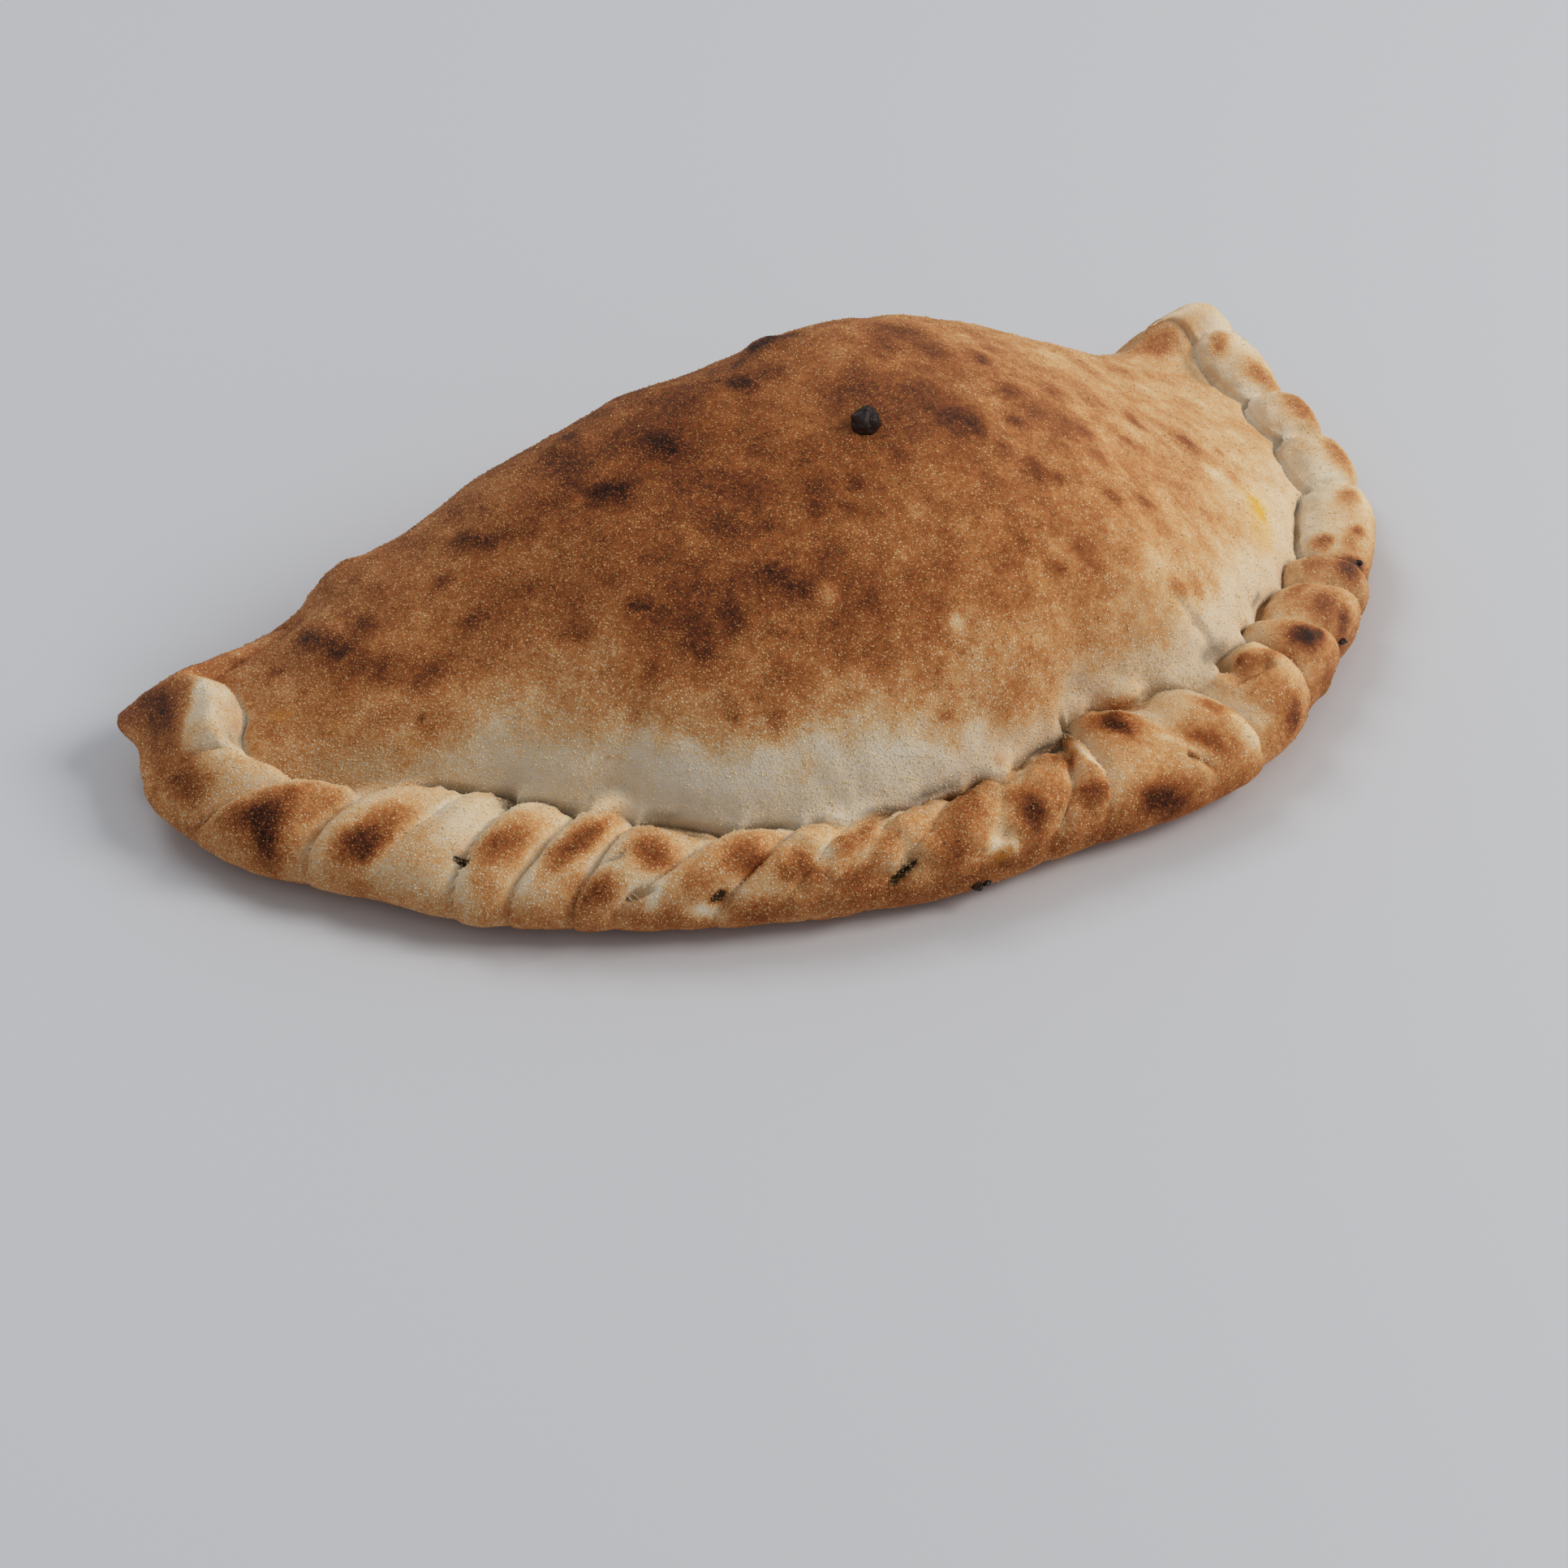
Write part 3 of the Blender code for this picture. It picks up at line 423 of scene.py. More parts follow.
def crimp_drop(distance, across):
    drop = np.zeros(np.broadcast(distance, across).shape)
    for groove, following in zip(GROOVES[:-1], GROOVES[1:]):
        start = groove[1] + (groove[0] - groove[1]) * across
        stop = following[1] + (following[0] - following[1]) * across
        place = (distance - start) / np.maximum(stop - start, NARROWEST_LOBE)
        inside = (place >= 0.0) & (place < 1.0)
        place = np.clip(place, 0.0, 1.0)
        peak = groove[3]
        rise = GROOVE_SHARPNESS * peak
        fall = GROOVE_SHARPNESS * (1.0 - peak)
        pillow = place ** rise * (1.0 - place) ** fall / (peak ** rise * (1.0 - peak) ** fall)
        depth = groove[2] + (following[2] - groove[2]) * place
        drop = np.where(inside, depth * (1.0 - pillow), drop)
    first = GROOVES[0]
    before = first[1] + (first[0] - first[1]) * across - distance
    return np.where(before > 0.0, first[2] * np.exp(-before / TIP_FADE), drop)


def groove_offset(distance, across):
    """Distance in mm along the edge to the nearest groove's line, and that groove's depth."""
    nearest = np.full(np.broadcast(distance, across).shape, 99.0)
    depth = np.zeros(nearest.shape)
    for inner, outer, deep, _ in GROOVES:
        line = outer + (inner - outer) * across
        away = distance - line
        closer = np.abs(away) < np.abs(nearest)
        nearest = np.where(closer, away, nearest)
        depth = np.where(closer, deep, depth)
    return nearest, depth


def crease_turn(angle):
    distance = rim_distance(angle)
    pinched = np.zeros_like(distance)
    for centre, width, strength in PINCHES:
        pinched = np.maximum(pinched, strength * bump(distance - centre, width))
    return blend_keys(CREASE_TURN, angle) - PINCH_TURN * pinched


def rope_point(angle, turn, crimped=1.0):
    half_width = blend_keys(ROPE_WIDTH, angle) / (1.0 - math.sin(math.radians(TURN_FULL_CREASE)))
    widest = blend_keys(WIDEST_HEIGHT, angle)
    below = widest - blend_keys(RIM_LIFT, angle)
    above = blend_keys(ROPE_TOP, angle) - widest
    power = blend_keys(SECTION_POWER, angle)
    sine = np.sin(np.radians(turn))
    cosine = np.cos(np.radians(turn))
    lean = blend_keys(ROPE_LEAN, angle) * np.maximum(-cosine, 0.0)
    inset = half_width * (1.0 - np.sign(sine) * np.abs(sine) ** power) + lean
    under = widest - below * np.abs(cosine) ** UNDERSIDE_POWER
    over = widest + above * np.abs(cosine) ** power
    height = np.where(turn <= TURN_OUTERMOST, under, over)
    across = np.clip((turn - TURN_OUTERMOST) / GROOVE_TURNS, 0.0, 1.0)
    swing = np.clip((turn - PRESS_START) / PRESS_SPREAD, 0.0, PRESS_LAST)
    reach = PRESS_LEAST + (1.0 - PRESS_LEAST) * np.sin(np.radians(swing)) ** PRESS_POWER
    has_rope = np.clip((crease_turn(angle) - ROPE_FADE_START) / ROPE_FADE_TURNS, 0.0, 1.0)
    press = crimp_drop(rim_distance(angle), across) * reach * has_rope * crimped
    return inset + sine * press, height + cosine * press


def dome_height(x, y):
    fold = FOLD_Y - (x - FOLD_X) ** 2 / (2.0 * FOLD_RADIUS)
    ridge_y = fold - smooth_curve(RIDGE_INSET, x)
    ridge = smooth_curve(RIDGE_HEIGHT, x)
    chord = (DISC_RADIUS - ROPE_AND_CREASE) ** 2 - (x - DISC_X) ** 2
    front = np.minimum(DISC_Y - np.sqrt(np.maximum(chord, 0.0)), ridge_y - SMALLEST_HALF_WIDTH)
    forward = np.clip((ridge_y - y) / (ridge_y - front), 0.0, FORWARD_LIMIT)
    before = ridge - (ridge - FRONT_BASE_HEIGHT) * SHOULDER_DROP * forward ** SHOULDER_POWER
    backward = np.clip((y - ridge_y) / (fold - ridge_y), 0.0, 1.0)
    edge = smooth_curve(FOLD_HEIGHT, x)
    behind = edge + (ridge - edge) * np.sqrt(1.0 - backward ** 2)
    height = np.where(y < ridge_y, before, behind)
    for centre_x, centre_y, radius, rise in SWELLS:
        height = height + rise * bump(np.hypot(x - centre_x, y - centre_y), radius)
    return height


def base_ring(angle, part):
    inset, _ = rope_point(angle, ROPE_START_TURN)
    reach = rim_radius(angle) - (blend_keys(BASE_INSET, angle) + inset) * ray_stretch(angle)
    return reach * part, np.zeros_like(angle)


def under_ring(angle):
    inset, height = rope_point(angle, ROPE_START_TURN)
    half_way = inset + UNDER_SHARE * blend_keys(BASE_INSET, angle)
    return rim_radius(angle) - half_way * ray_stretch(angle), UNDER_HEIGHT * height


def rope_turn(angle, part):
    return ROPE_START_TURN + (crease_turn(angle) - ROPE_START_TURN) * part


def rope_ring(angle, part):
    inset, height = rope_point(angle, rope_turn(angle, part))
    return rim_radius(angle) - inset * ray_stretch(angle), height


def dome_ring(angle, part):
    crimped_reach, crimped_start = rope_ring(angle, 1.0)
    inset, smooth_start = rope_point(angle, blend_keys(CREASE_TURN, angle), crimped=0.0)
    smooth_reach = rim_radius(angle) - inset * ray_stretch(angle)
    # Above the notch the pocket's wall runs on evenly.
    eased = sum(
        rim_radius(angle + offset) - ray_stretch(angle + offset)
        * rope_point(angle + offset, blend_keys(CREASE_TURN, angle + offset), crimped=0.0)[0]
        for offset in NOTCH_OFFSETS) / len(NOTCH_OFFSETS)
    near_notch = bump(np.mod(angle - NOTCH_ANGLE + 180.0, 360.0) - 180.0, NOTCH_SPREAD)
    smooth_reach = smooth_reach + (eased - smooth_reach) * near_notch * smooth_step(part / NOTCH_RISE)
    settled = smooth_step(part / CRIMP_FADE)
    start = crimped_start + (smooth_start - crimped_start) * settled
    ratio = 1.0 - part ** DOME_SPREAD
    reach = (crimped_reach + (smooth_reach - crimped_reach) * settled) * ratio
    radians = np.radians(angle)
    top = dome_height(CROWN_X + reach * np.cos(radians), CROWN_Y + reach * np.sin(radians))
    risen = np.sqrt(1.0 - ratio ** blend_keys(WALL_POWER, angle))
    return reach, start + (top - start) * risen


def column_angles():
    front = RIM_ANGLES < TABLE_START + FRONT_SPAN
    density = np.where(front, 1.0, BACK_DENSITY)
    weights = 0.5 * (density[1:] + density[:-1]) * np.diff(RIM_WALKED)
    summed = np.concatenate([[0.0], np.cumsum(weights)])
    return np.interp(np.arange(COLUMNS) / COLUMNS * summed[-1], summed, RIM_ANGLES)


def even_parts(ring, angle, count):
    """Parts from 0 to 1 that lie at equal steps along each meridian of a ring function."""
    parts = np.linspace(0.0, 1.0, ARC_SAMPLES)[:, None] * np.ones_like(angle)[None, :]
    reach, height = ring(np.broadcast_to(angle, parts.shape), parts)
    step = np.hypot(np.diff(reach, axis=0), np.diff(height, axis=0))
    arc = np.concatenate([np.zeros((1, len(angle))), np.cumsum(step, axis=0)])
    wanted = np.linspace(0.0, 1.0, count)
    columns = [np.interp(wanted * arc[-1, i], arc[:, i], parts[:, i]) for i in range(len(angle))]
    return np.array(columns).T


NOISE_TURN = np.array([[0.64, 0.60, -0.48], [-0.768, 0.50, -0.40], [0.0, 0.6247, 0.7809]])


def noise(points, size, seed=0):
    """Smooth random values from -1 to 1 that change over about the given size in mm."""
    place = points @ NOISE_TURN / size + 1000.0
    cell = np.floor(place).astype(np.int64)
    part = place - cell
    part = part * part * (3.0 - 2.0 * part)
    total = np.zeros(len(points))
    for corner in range(8):
        offset = np.array([corner & 1, (corner >> 1) & 1, corner >> 2])
        grid = cell + offset
        key = grid[:, 0] * 73856093 ^ grid[:, 1] * 19349663 ^ grid[:, 2] * 83492791
        key = key ^ (seed + SEED) * 2654435761
        key = (key ^ (key >> 13)) & 0xFFFFFFFF
        key = (key * 1274126177) & 0xFFFFFFFF
        key = (key ^ (key >> 16)) & 0xFFFFFFFF
        key = (key * 2246822519) & 0xFFFFFFFF
        value = (key & 0xFFFFFF) / float(0xFFFFFF) * 2.0 - 1.0
        weight = np.prod(np.where(offset == 1, part, 1.0 - part), axis=1)
        total += value * weight
    return total


def stroke_distance(points, start, end):
    """Distance in mm from each point to the stroke between two places."""
    start = np.array(start, dtype=float)
    along = np.array(end, dtype=float) - start
    share = np.clip((points - start) @ along / max(along @ along, 1e-6), 0.0, 1.0)
    return np.linalg.norm(points - start - share[:, None] * along, axis=1)


def make_mesh(name, points, faces, attributes=None, material=None, smooth=True):
    mesh = bpy.data.meshes.new(name)
    mesh.from_pydata((np.asarray(points) * MM).tolist(), [], faces)
    mesh.validate()
    if smooth:
        mesh.shade_smooth()
    for key, values in (attributes or {}).items():
        layer = mesh.attributes.new(key, "FLOAT", "POINT")
        layer.data.foreach_set("value", np.asarray(values, dtype=np.float32))
    if material:
        mesh.materials.append(material)
    item = bpy.data.objects.new(name, mesh)
    bpy.context.scene.collection.objects.link(item)
    return item


def normals_of(points, faces):
    """Area-weighted vertex normals of a mesh of triangles and quads."""
    quads = np.array([face if len(face) == 4 else (*face, face[0]) for face in faces])
    one = points[quads[:, 2]] - points[quads[:, 0]]
    two = points[quads[:, 3]] - points[quads[:, 1]]
    flat = np.cross(one, two)
    triangle = quads[:, 3] == quads[:, 0]
    edge = np.cross(points[quads[:, 1]] - points[quads[:, 0]], points[quads[:, 2]] - points[quads[:, 0]])
    flat[triangle] = edge[triangle]
    total = np.zeros_like(points)
    for corner in range(4):
        np.add.at(total, quads[:, corner], flat)
    return total / np.maximum(np.linalg.norm(total, axis=1, keepdims=True), 1e-9)


# ---------------------------------------------------------------- crust: points on a grid
def crust_grid():
    """Points and their places on the crust, ring by ring from the base's middle to the crown."""
    angle = column_angles()
    rings = []
    for part in np.linspace(0.0, 1.0, BASE_RINGS + 1)[1:]:
        rings.append((base_ring(angle, part), BASE_TURN))
    rings.append((under_ring(angle), BASE_TURN))
    rope_parts = even_parts(rope_ring, angle, ROPE_RINGS)
    for part in rope_parts:
        rings.append((rope_ring(angle, part), rope_turn(angle, part)))
    dome_parts = even_parts(dome_ring, angle, DOME_RINGS + 1)[1:-1]
    for part in dome_parts:
        rings.append((dome_ring(angle, part), DOME_TURN))
    radians = np.radians(angle)
    reach = np.array([ring[0][0] for ring in rings])
    height = np.maximum(np.array([ring[0][1] for ring in rings]), 0.0)
    turn = np.array([np.zeros(COLUMNS) + ring[1] for ring in rings])
    points = np.stack([
        CROWN_X + reach * np.cos(radians), CROWN_Y + reach * np.sin(radians), height], axis=-1)
    return angle, turn, points


def crust_faces(ring_count):
    """Quads between the rings, fans at the base's middle (vertex 0) and the crown (the last)."""
    columns = np.arange(COLUMNS)
    following = (columns + 1) % COLUMNS
    faces = []
    for low in range(ring_count - 1):
        a = 1 + low * COLUMNS
        b = a + COLUMNS
        faces += np.stack([a + columns, a + following, b + following, b + columns], axis=1).tolist()
    top = 1 + ring_count * COLUMNS
    last = 1 + (ring_count - 1) * COLUMNS
    faces += np.stack([0 * columns, 1 + following, 1 + columns], axis=1).tolist()
    faces += np.stack([last + columns, last + following, top + 0 * columns], axis=1).tolist()
    return faces


def build_crust():
    angle, turn, grid = crust_grid()
    ring_count = len(grid)
    faces = crust_faces(ring_count)
    crown_top = dome_height(np.array([CROWN_X]), np.array([CROWN_Y]))[0]
    points = np.concatenate([
        [[CROWN_X, CROWN_Y, 0.0]], grid.reshape(-1, 3), [[CROWN_X, CROWN_Y, crown_top]]])
    angles = np.concatenate([[0.0], np.broadcast_to(angle, turn.shape).ravel(), [0.0]])
    turns = np.concatenate([[BASE_TURN], turn.ravel(), [DOME_TURN]])
    step = np.linalg.norm(np.diff(grid, axis=0), axis=2)
    arc = np.concatenate([np.zeros((1, COLUMNS)), np.cumsum(step, axis=0)])
    crease_ring = BASE_RINGS + ROPE_RINGS
    arc = arc - arc[crease_ring]
    arc = np.concatenate([[-FAR_ARC], arc.ravel(), [FAR_ARC]])
    distance = rim_distance(angles)
    on_dome = turns == DOME_TURN
    on_rope = (turns >= 0.0) & ~on_dome
    across = np.clip((turns - TURN_OUTERMOST) / GROOVE_TURNS, -0.5, 1.1)
    has_rope = np.clip((crease_turn(angles) - ROPE_FADE_START) / ROPE_FADE_TURNS, 0.0, 1.0)
    normals = normals_of(points, faces)
    floor_part = smooth_step(points[:, 2] / 3.0)

    # ---- small forms, all along the normals
    push = np.zeros(len(points))
    coarse = noise(points, COARSE_LUMPS[0], 1)
    medium = noise(points, MEDIUM_LUMPS[0], 2)
    fine = noise(points, FINE_LUMPS[0], 3)
    push += (COARSE_LUMPS[1] * coarse + MEDIUM_LUMPS[1] * medium + FINE_LUMPS[1] * fine) * floor_part
    # The thin line that each crimp leaves where two lobes of dough meet.
    away, depth = groove_offset(distance + 0.5 * medium, np.clip(across, 0.0, 1.0))
    line = bump(away, LINE_WIDTH) * smooth_step((across + 0.05) / 0.2) * has_rope * on_rope
    soft = smooth_step((distance - SOFT_LINES[0]) / 16.0) * smooth_step((SOFT_LINES[1] - distance) / 16.0)
    push -= (LINE_DEPTH - LINE_SOFTENING * soft) * np.maximum(depth - 1.6, 0.0) * line
    # Between the clean crimps and the wide lobe the dough is crumpled into small lumps.
    crumpled = smooth_step((distance - CRUMPLED_RIM[0]) / 12.0)
    crumpled = crumpled * smooth_step((CRUMPLED_RIM[1] - distance) / 12.0)
    crumpled = crumpled * on_rope * smooth_step((across + 0.02) / 0.2)
    push += crumpled * (0.95 * noise(points, 4.4, 23) + 0.60 * noise(points, 2.6, 24))
    # The rope's lip over the crease is ragged.
    lip = smooth_step((turns - 195.0) / 30.0) * on_rope * has_rope
    push += lip * (0.7 * noise(points, 3.1, 5) + 0.35 * noise(points, 1.6, 6))
    # Fine wrinkles run down the pale foot of the pocket.
    foot = bump(arc - 4.0, 7.0) * on_dome * has_rope
    push += foot * (0.25 * noise(points, 3.5, 7) + 0.12 * noise(points, 1.8, 8))
    for start, end, radius, _, dent in MARKS:
        if dent:
            spread = stroke_distance(points, start, end) / radius
            push -= dent * np.exp(-spread ** 2 * 1.2)
    unrolled = np.stack([distance, arc, 0.0 * arc], axis=1)
    pit = np.full(len(points), PIT_REACH)
    for along, above, along_end, above_end, radius in PITS:
        ends = (along, above, 0.0), (along_end, above_end, 0.0)
        away_from = stroke_distance(unrolled, *ends) / radius
        pit = np.minimum(pit, np.where(on_rope, away_from, PIT_REACH))
        push -= PIT_DEPTH * radius * np.exp(-away_from ** 3) * on_rope
    for place, above, wide, tall, dent in DENTS:
        push -= dent * np.exp(-((distance - place) / wide) ** 2 - ((arc - above) / tall) ** 2)
    for x, y, radius, rise in BLISTERS:
        spread = np.hypot(points[:, 0] - x, points[:, 1] - y) / radius
        push += rise * np.exp(-spread ** 4) * on_dome * (1.0 + 0.3 * fine)
    # The crease itself is a narrow slot, closed where the rope is pinched onto the pocket.
    open_crease = np.ones(len(points))
    for centre, width, strength in PINCHES:
        open_crease = np.minimum(open_crease, 1.0 - strength * bump(distance - centre, 1.2 * width))
    open_crease = open_crease * has_rope * smooth_step((distance - 12.0) / 14.0)
    slot = bump(arc - 0.2, SLOT_WIDTH) * open_crease
    push -= SLOT_DEPTH * slot
    points = points + normals * push[:, None]
    points[:, 2] = np.maximum(points[:, 2], 0.0)
    # gap keeps the slot's mask for the crease's painted shade, and pit the distance to the rim's slits,
    # which are painted dark inside as shade.
    return points, faces, dict(
        angle=angles, turn=turns, arc=arc, distance=distance, across=across, away=away,
        on_rope=on_rope, on_dome=on_dome, has_rope=has_rope, gap=slot * (on_rope | on_dome), pit=pit)


def bake(points, at):
    """How brown each place of the crust is, from 0 (pale) to 1 (charred)."""
    x, y = points[:, 0], points[:, 1]
    blotch = noise(points, 9.0, 11)
    patch = noise(points, 4.0, 12)
    fleck = noise(points, 1.8, 13)
    # Rope
    along, above, across = at["distance"], at["arc"], at["across"]
    rope = smooth_curve(RIM_BASE, along) + 0.08 * blotch + 0.06 * patch
    rope = rope + smooth_curve(EDGE_BROWN, along) * bump(across + 0.02, 0.19)
    valley = bump(at["away"], 2.5) * smooth_step(across / 0.3)
    rope = rope - (0.13 + 0.4 * np.maximum(rope - 0.3, 0.0)) * valley
    under = smooth_step((85.0 - at["turn"]) / 35.0)
    rope = rope + (0.55 + 0.08 * blotch - rope) * under
    # The ear: pale inside, scorched outside.
    ear = smooth_step((2.0 - along) / 5.0) * smooth_step((along + 38.0) / 9.0)
    inside = smooth_curve(EAR_FACE, along) + 0.9 * patch - above
    face = smooth_step((inside + 1.2) / 3.4)
    rope = rope + (0.12 + 0.10 * patch - rope) * ear * (1.0 - face) * smooth_step((30.0 + along) / 6.0)
    scorch = 0.56 + 0.22 * smooth_step((inside - 1.0) / 9.0) * smooth_step((above + 32.0) / 12.0)
    rope = rope + (scorch + 0.09 * blotch + 0.08 * patch + 0.04 * fleck - rope) * ear * face
    # Pocket
    foot = blend_keys(PALE_WALL, at["angle"])
    top = smooth_curve(TOP_BROWN, x) * smooth_curve(FRONT_FADE, y)
    climb = at["arc"] + 4.0 * blotch + 1.5 * patch + 1.0 * fleck
    level = 0.62 * smooth_step((climb - foot + 6.0) / 13.0) + 0.38 * smooth_step((climb - foot) / 34.0)
    wall = smooth_curve(WALL_BROWN, along)
    dome = wall + (top - wall) * level
    dome = dome + (0.06 * blotch + 0.07 * patch + 0.05 * fleck) * (0.3 + 0.7 * level)
    dark = smooth_step((noise(points, 6.5, 14) - 0.30) / 0.40) * smooth_step((35.0 - x) / 60.0)
    light = smooth_step((noise(points, 10.0, 15) - 0.25) / 0.45)
    dome = dome + (0.09 * dark - 0.08 * light) * level
    warp_x = 0.28 * patch + 0.16 * fleck
    warp_y = 0.28 * noise(points, 3.4, 16) + 0.16 * noise(points, 1.6, 17)
    for centre_x, centre_y, radius, value in PALE_SPOTS:
        spread = np.hypot(x - centre_x + radius * warp_x, y - centre_y + radius * warp_y) / radius
        dome = dome + np.minimum(value - dome, 0.0) * np.exp(-spread ** 2.2) * at["on_dome"]
    pocket = points[at["on_dome"]]
    warp = np.stack([warp_x, warp_y, 0.7 * warp_x], axis=1)
    for centre_x, centre_y, long_x, long_y, radius, value in DOME_SPOTS:
        value = value - 0.10 * smooth_step((centre_x - 20.0) / 40.0)
        ends = [
            pocket[np.argmin(np.hypot(pocket[:, 0] - end_x, pocket[:, 1] - end_y))]
            for end_x, end_y in ((centre_x, centre_y), (centre_x + long_x, centre_y + long_y))]
        spread = stroke_distance(points + radius * warp, *ends) / (1.08 * radius)
        dome = dome + np.maximum(value + 0.02 - dome, 0.0) * np.exp(-0.75 * spread ** 2.0)
    no_rope = 1.0 - at["has_rope"]
    back = 0.66 + 0.08 * blotch + 0.06 * patch
    rope = rope + (np.minimum(back, top + 0.02) - rope) * no_rope * at["on_rope"]
    brown = np.where(at["on_dome"], dome, rope)
    near_rim = (above > -44.0) & (above < 22.0) & (at["turn"] > 60.0)
    for place, height, wide, tall, value in RIM_SPOTS:
        spread_along = (along - place) / wide + 0.6 * warp_x
        spread_above = (above - height) / tall + 0.6 * warp_y
        spread = spread_along ** 2 + spread_above ** 2
        share = np.exp(-0.70 * spread ** 1.25) * near_rim
        change = np.maximum(value - brown, 0.0) if value > 0.2 else np.minimum(value - brown, 0.0)
        brown = brown + change * share
    sway = np.stack([patch, fleck, -patch], axis=1)
    for start, end, radius, value, _ in MARKS:
        away = stroke_distance(points + 0.12 * radius * sway, start, end) / radius
        share = np.exp(-(away ** 2.2) * 0.9)
        change = np.maximum(value - brown, 0.0) if value > 0.45 else value - brown
        brown = brown + change * share
    base = at["turn"] < 0.0
    brown = np.where(base, 0.62 + 0.10 * blotch + 0.08 * patch, brown)
    return np.clip(brown, 0.0, 1.0)


def painted_shade(points, at):
    """How strongly painted shade darkens each place, from 0 to 1: in the crease, slits and holes."""
    # The crease's slot is painted dark as shade, fading out towards the right end.
    total = 0.45 * at["gap"] * smooth_step((345.0 - at["distance"]) / 40.0)
    for place, height, wide, tall, strength in PAINTED_SHADE_SPOTS:
        spread = ((at["distance"] - place) / wide) ** 4 + ((at["arc"] - height) / tall) ** 2
        total = np.maximum(total, strength * np.exp(-spread))
    # The deepest marks get painted shade as well.
    for start, end, radius, _, dent in MARKS:
        if dent > DEEPEST_UNSHADED_MARK:
            spread = stroke_distance(points, start, end) / radius
            total = np.maximum(total, 0.8 * np.exp(-1.6 * spread ** 2))
    return total


def stain(points):
    """How strongly leaked filling colours each place, from 0 to 1."""
    total = np.zeros(len(points))
    sway = 0.5 * np.stack([noise(points, 1.8, 31), noise(points, 1.8, 32), noise(points, 2.4, 33)], axis=1)
    for start, end, radius, strength in STAINS:
        away = stroke_distance(points + sway, start, end) / radius
        total = np.maximum(total, strength * np.exp(-(away ** 2.6)))
    return total


def dustiness(points, places):
    """How thickly the semolina lies, from 0 to 1 and a little over."""
    weight = 0.30 + 0.57 * smooth_step((75.0 - points[:, 0]) / 110.0)
    weight += 0.22 * noise(points, 7.0, 21) + 0.16 * noise(points, 2.5, 22)
    foot = bump(places["arc"] - 12.0, 10.0) * places["on_dome"]
    weight += 0.3 * foot * smooth_step((100.0 - points[:, 0]) / 60.0)
    return np.clip(weight, 0.03, 1.3)


# ---------------------------------------------------------------- materials
def new_material(name, roughness=0.8):
    material = bpy.data.materials.new(name)
    material.use_nodes = True
    shader = material.node_tree.nodes["Principled BSDF"]
    shader.inputs["Roughness"].default_value = roughness
    return material, material.node_tree, shader


def node(tree, kind, **values):
    made = tree.nodes.new(kind)
    for key, value in values.items():
        if key in made.inputs.keys():
            made.inputs[key].default_value = value
        else:
            setattr(made, key, value)
    return made


def maths(tree, operation, one, two=0.5, three=None, clamp=False):
    made = tree.nodes.new("ShaderNodeMath")
    made.operation = operation
    made.use_clamp = clamp
    for index, value in enumerate((one, two, three)):
        if value is None:
            continue
        if isinstance(value, (int, float)):
            made.inputs[index].default_value = value
        else:
            tree.links.new(value, made.inputs[index])
    return made.outputs[0]


def ramp(tree, factor, stops):
    made = tree.nodes.new("ShaderNodeValToRGB")
    made.color_ramp.interpolation = "LINEAR"
    elements = made.color_ramp.elements
    while len(elements) < len(stops):
        elements.new(0.5)
    for element, (place, colour) in zip(elements, stops):
        element.position = place
        element.color = (*colour, 1.0)
    tree.links.new(factor, made.inputs[0])
    return made.outputs[0]


def attribute(tree, name):
    return node(tree, "ShaderNodeAttribute", attribute_name=name).outputs["Fac"]


def mix(tree, share, first, second):
    """One colour passing into another, which is a socket or a fixed colour."""
    made = node(tree, "ShaderNodeMix", data_type="RGBA")
    tree.links.new(share, made.inputs["Factor"])
    tree.links.new(first, made.inputs[6])
    if isinstance(second, tuple):
        made.inputs[7].default_value = (*second, 1.0)
    else:
        tree.links.new(second, made.inputs[7])
    return made.outputs[2]


def noise_node(tree, coordinates, scale_mm, detail=2.0, rough=0.5):
    made = node(tree, "ShaderNodeTexNoise", Scale=1000.0 / scale_mm, Detail=detail, Roughness=rough)
    tree.links.new(coordinates, made.inputs["Vector"])
    return made.outputs[0]


CRUST_STOPS = (
    (0, (0.88, 0.79, 0.645)), (0.1, (0.855, 0.695, 0.5)), (0.2, (0.81, 0.565, 0.322)),
    (0.3, (0.755, 0.43, 0.19)), (0.4, (0.66, 0.303, 0.108)), (0.48, (0.555, 0.212, 0.065)),
    (0.56, (0.45, 0.148, 0.04)), (0.64, (0.355, 0.104, 0.027)), (0.72, (0.26, 0.07, 0.018)),
    (0.8, (0.165, 0.043, 0.014)), (0.9, (0.08, 0.022, 0.009)), (1, (0.022, 0.008, 0.005)),
)
LEAK_STOPS = ((0, (0.7, 0.26, 0.03)), (1, (0.9, 0.56, 0.085)))
# Colour and share of the painted sheen over the far edge and the right.
SHEEN_COLOUR, SHEEN_SHARE = (0.60, 0.50, 0.41), 0.08
# Colour of the painted shade in the crease, its hollows and the deep slits.
PAINTED_SHADE_COLOUR = (0.085, 0.052, 0.022)
# Colour of the painted shade inside the rim's slits and holes.
PIT_SHADE_COLOUR = (0.062, 0.034, 0.014)
SPECK_CELL = 0.58


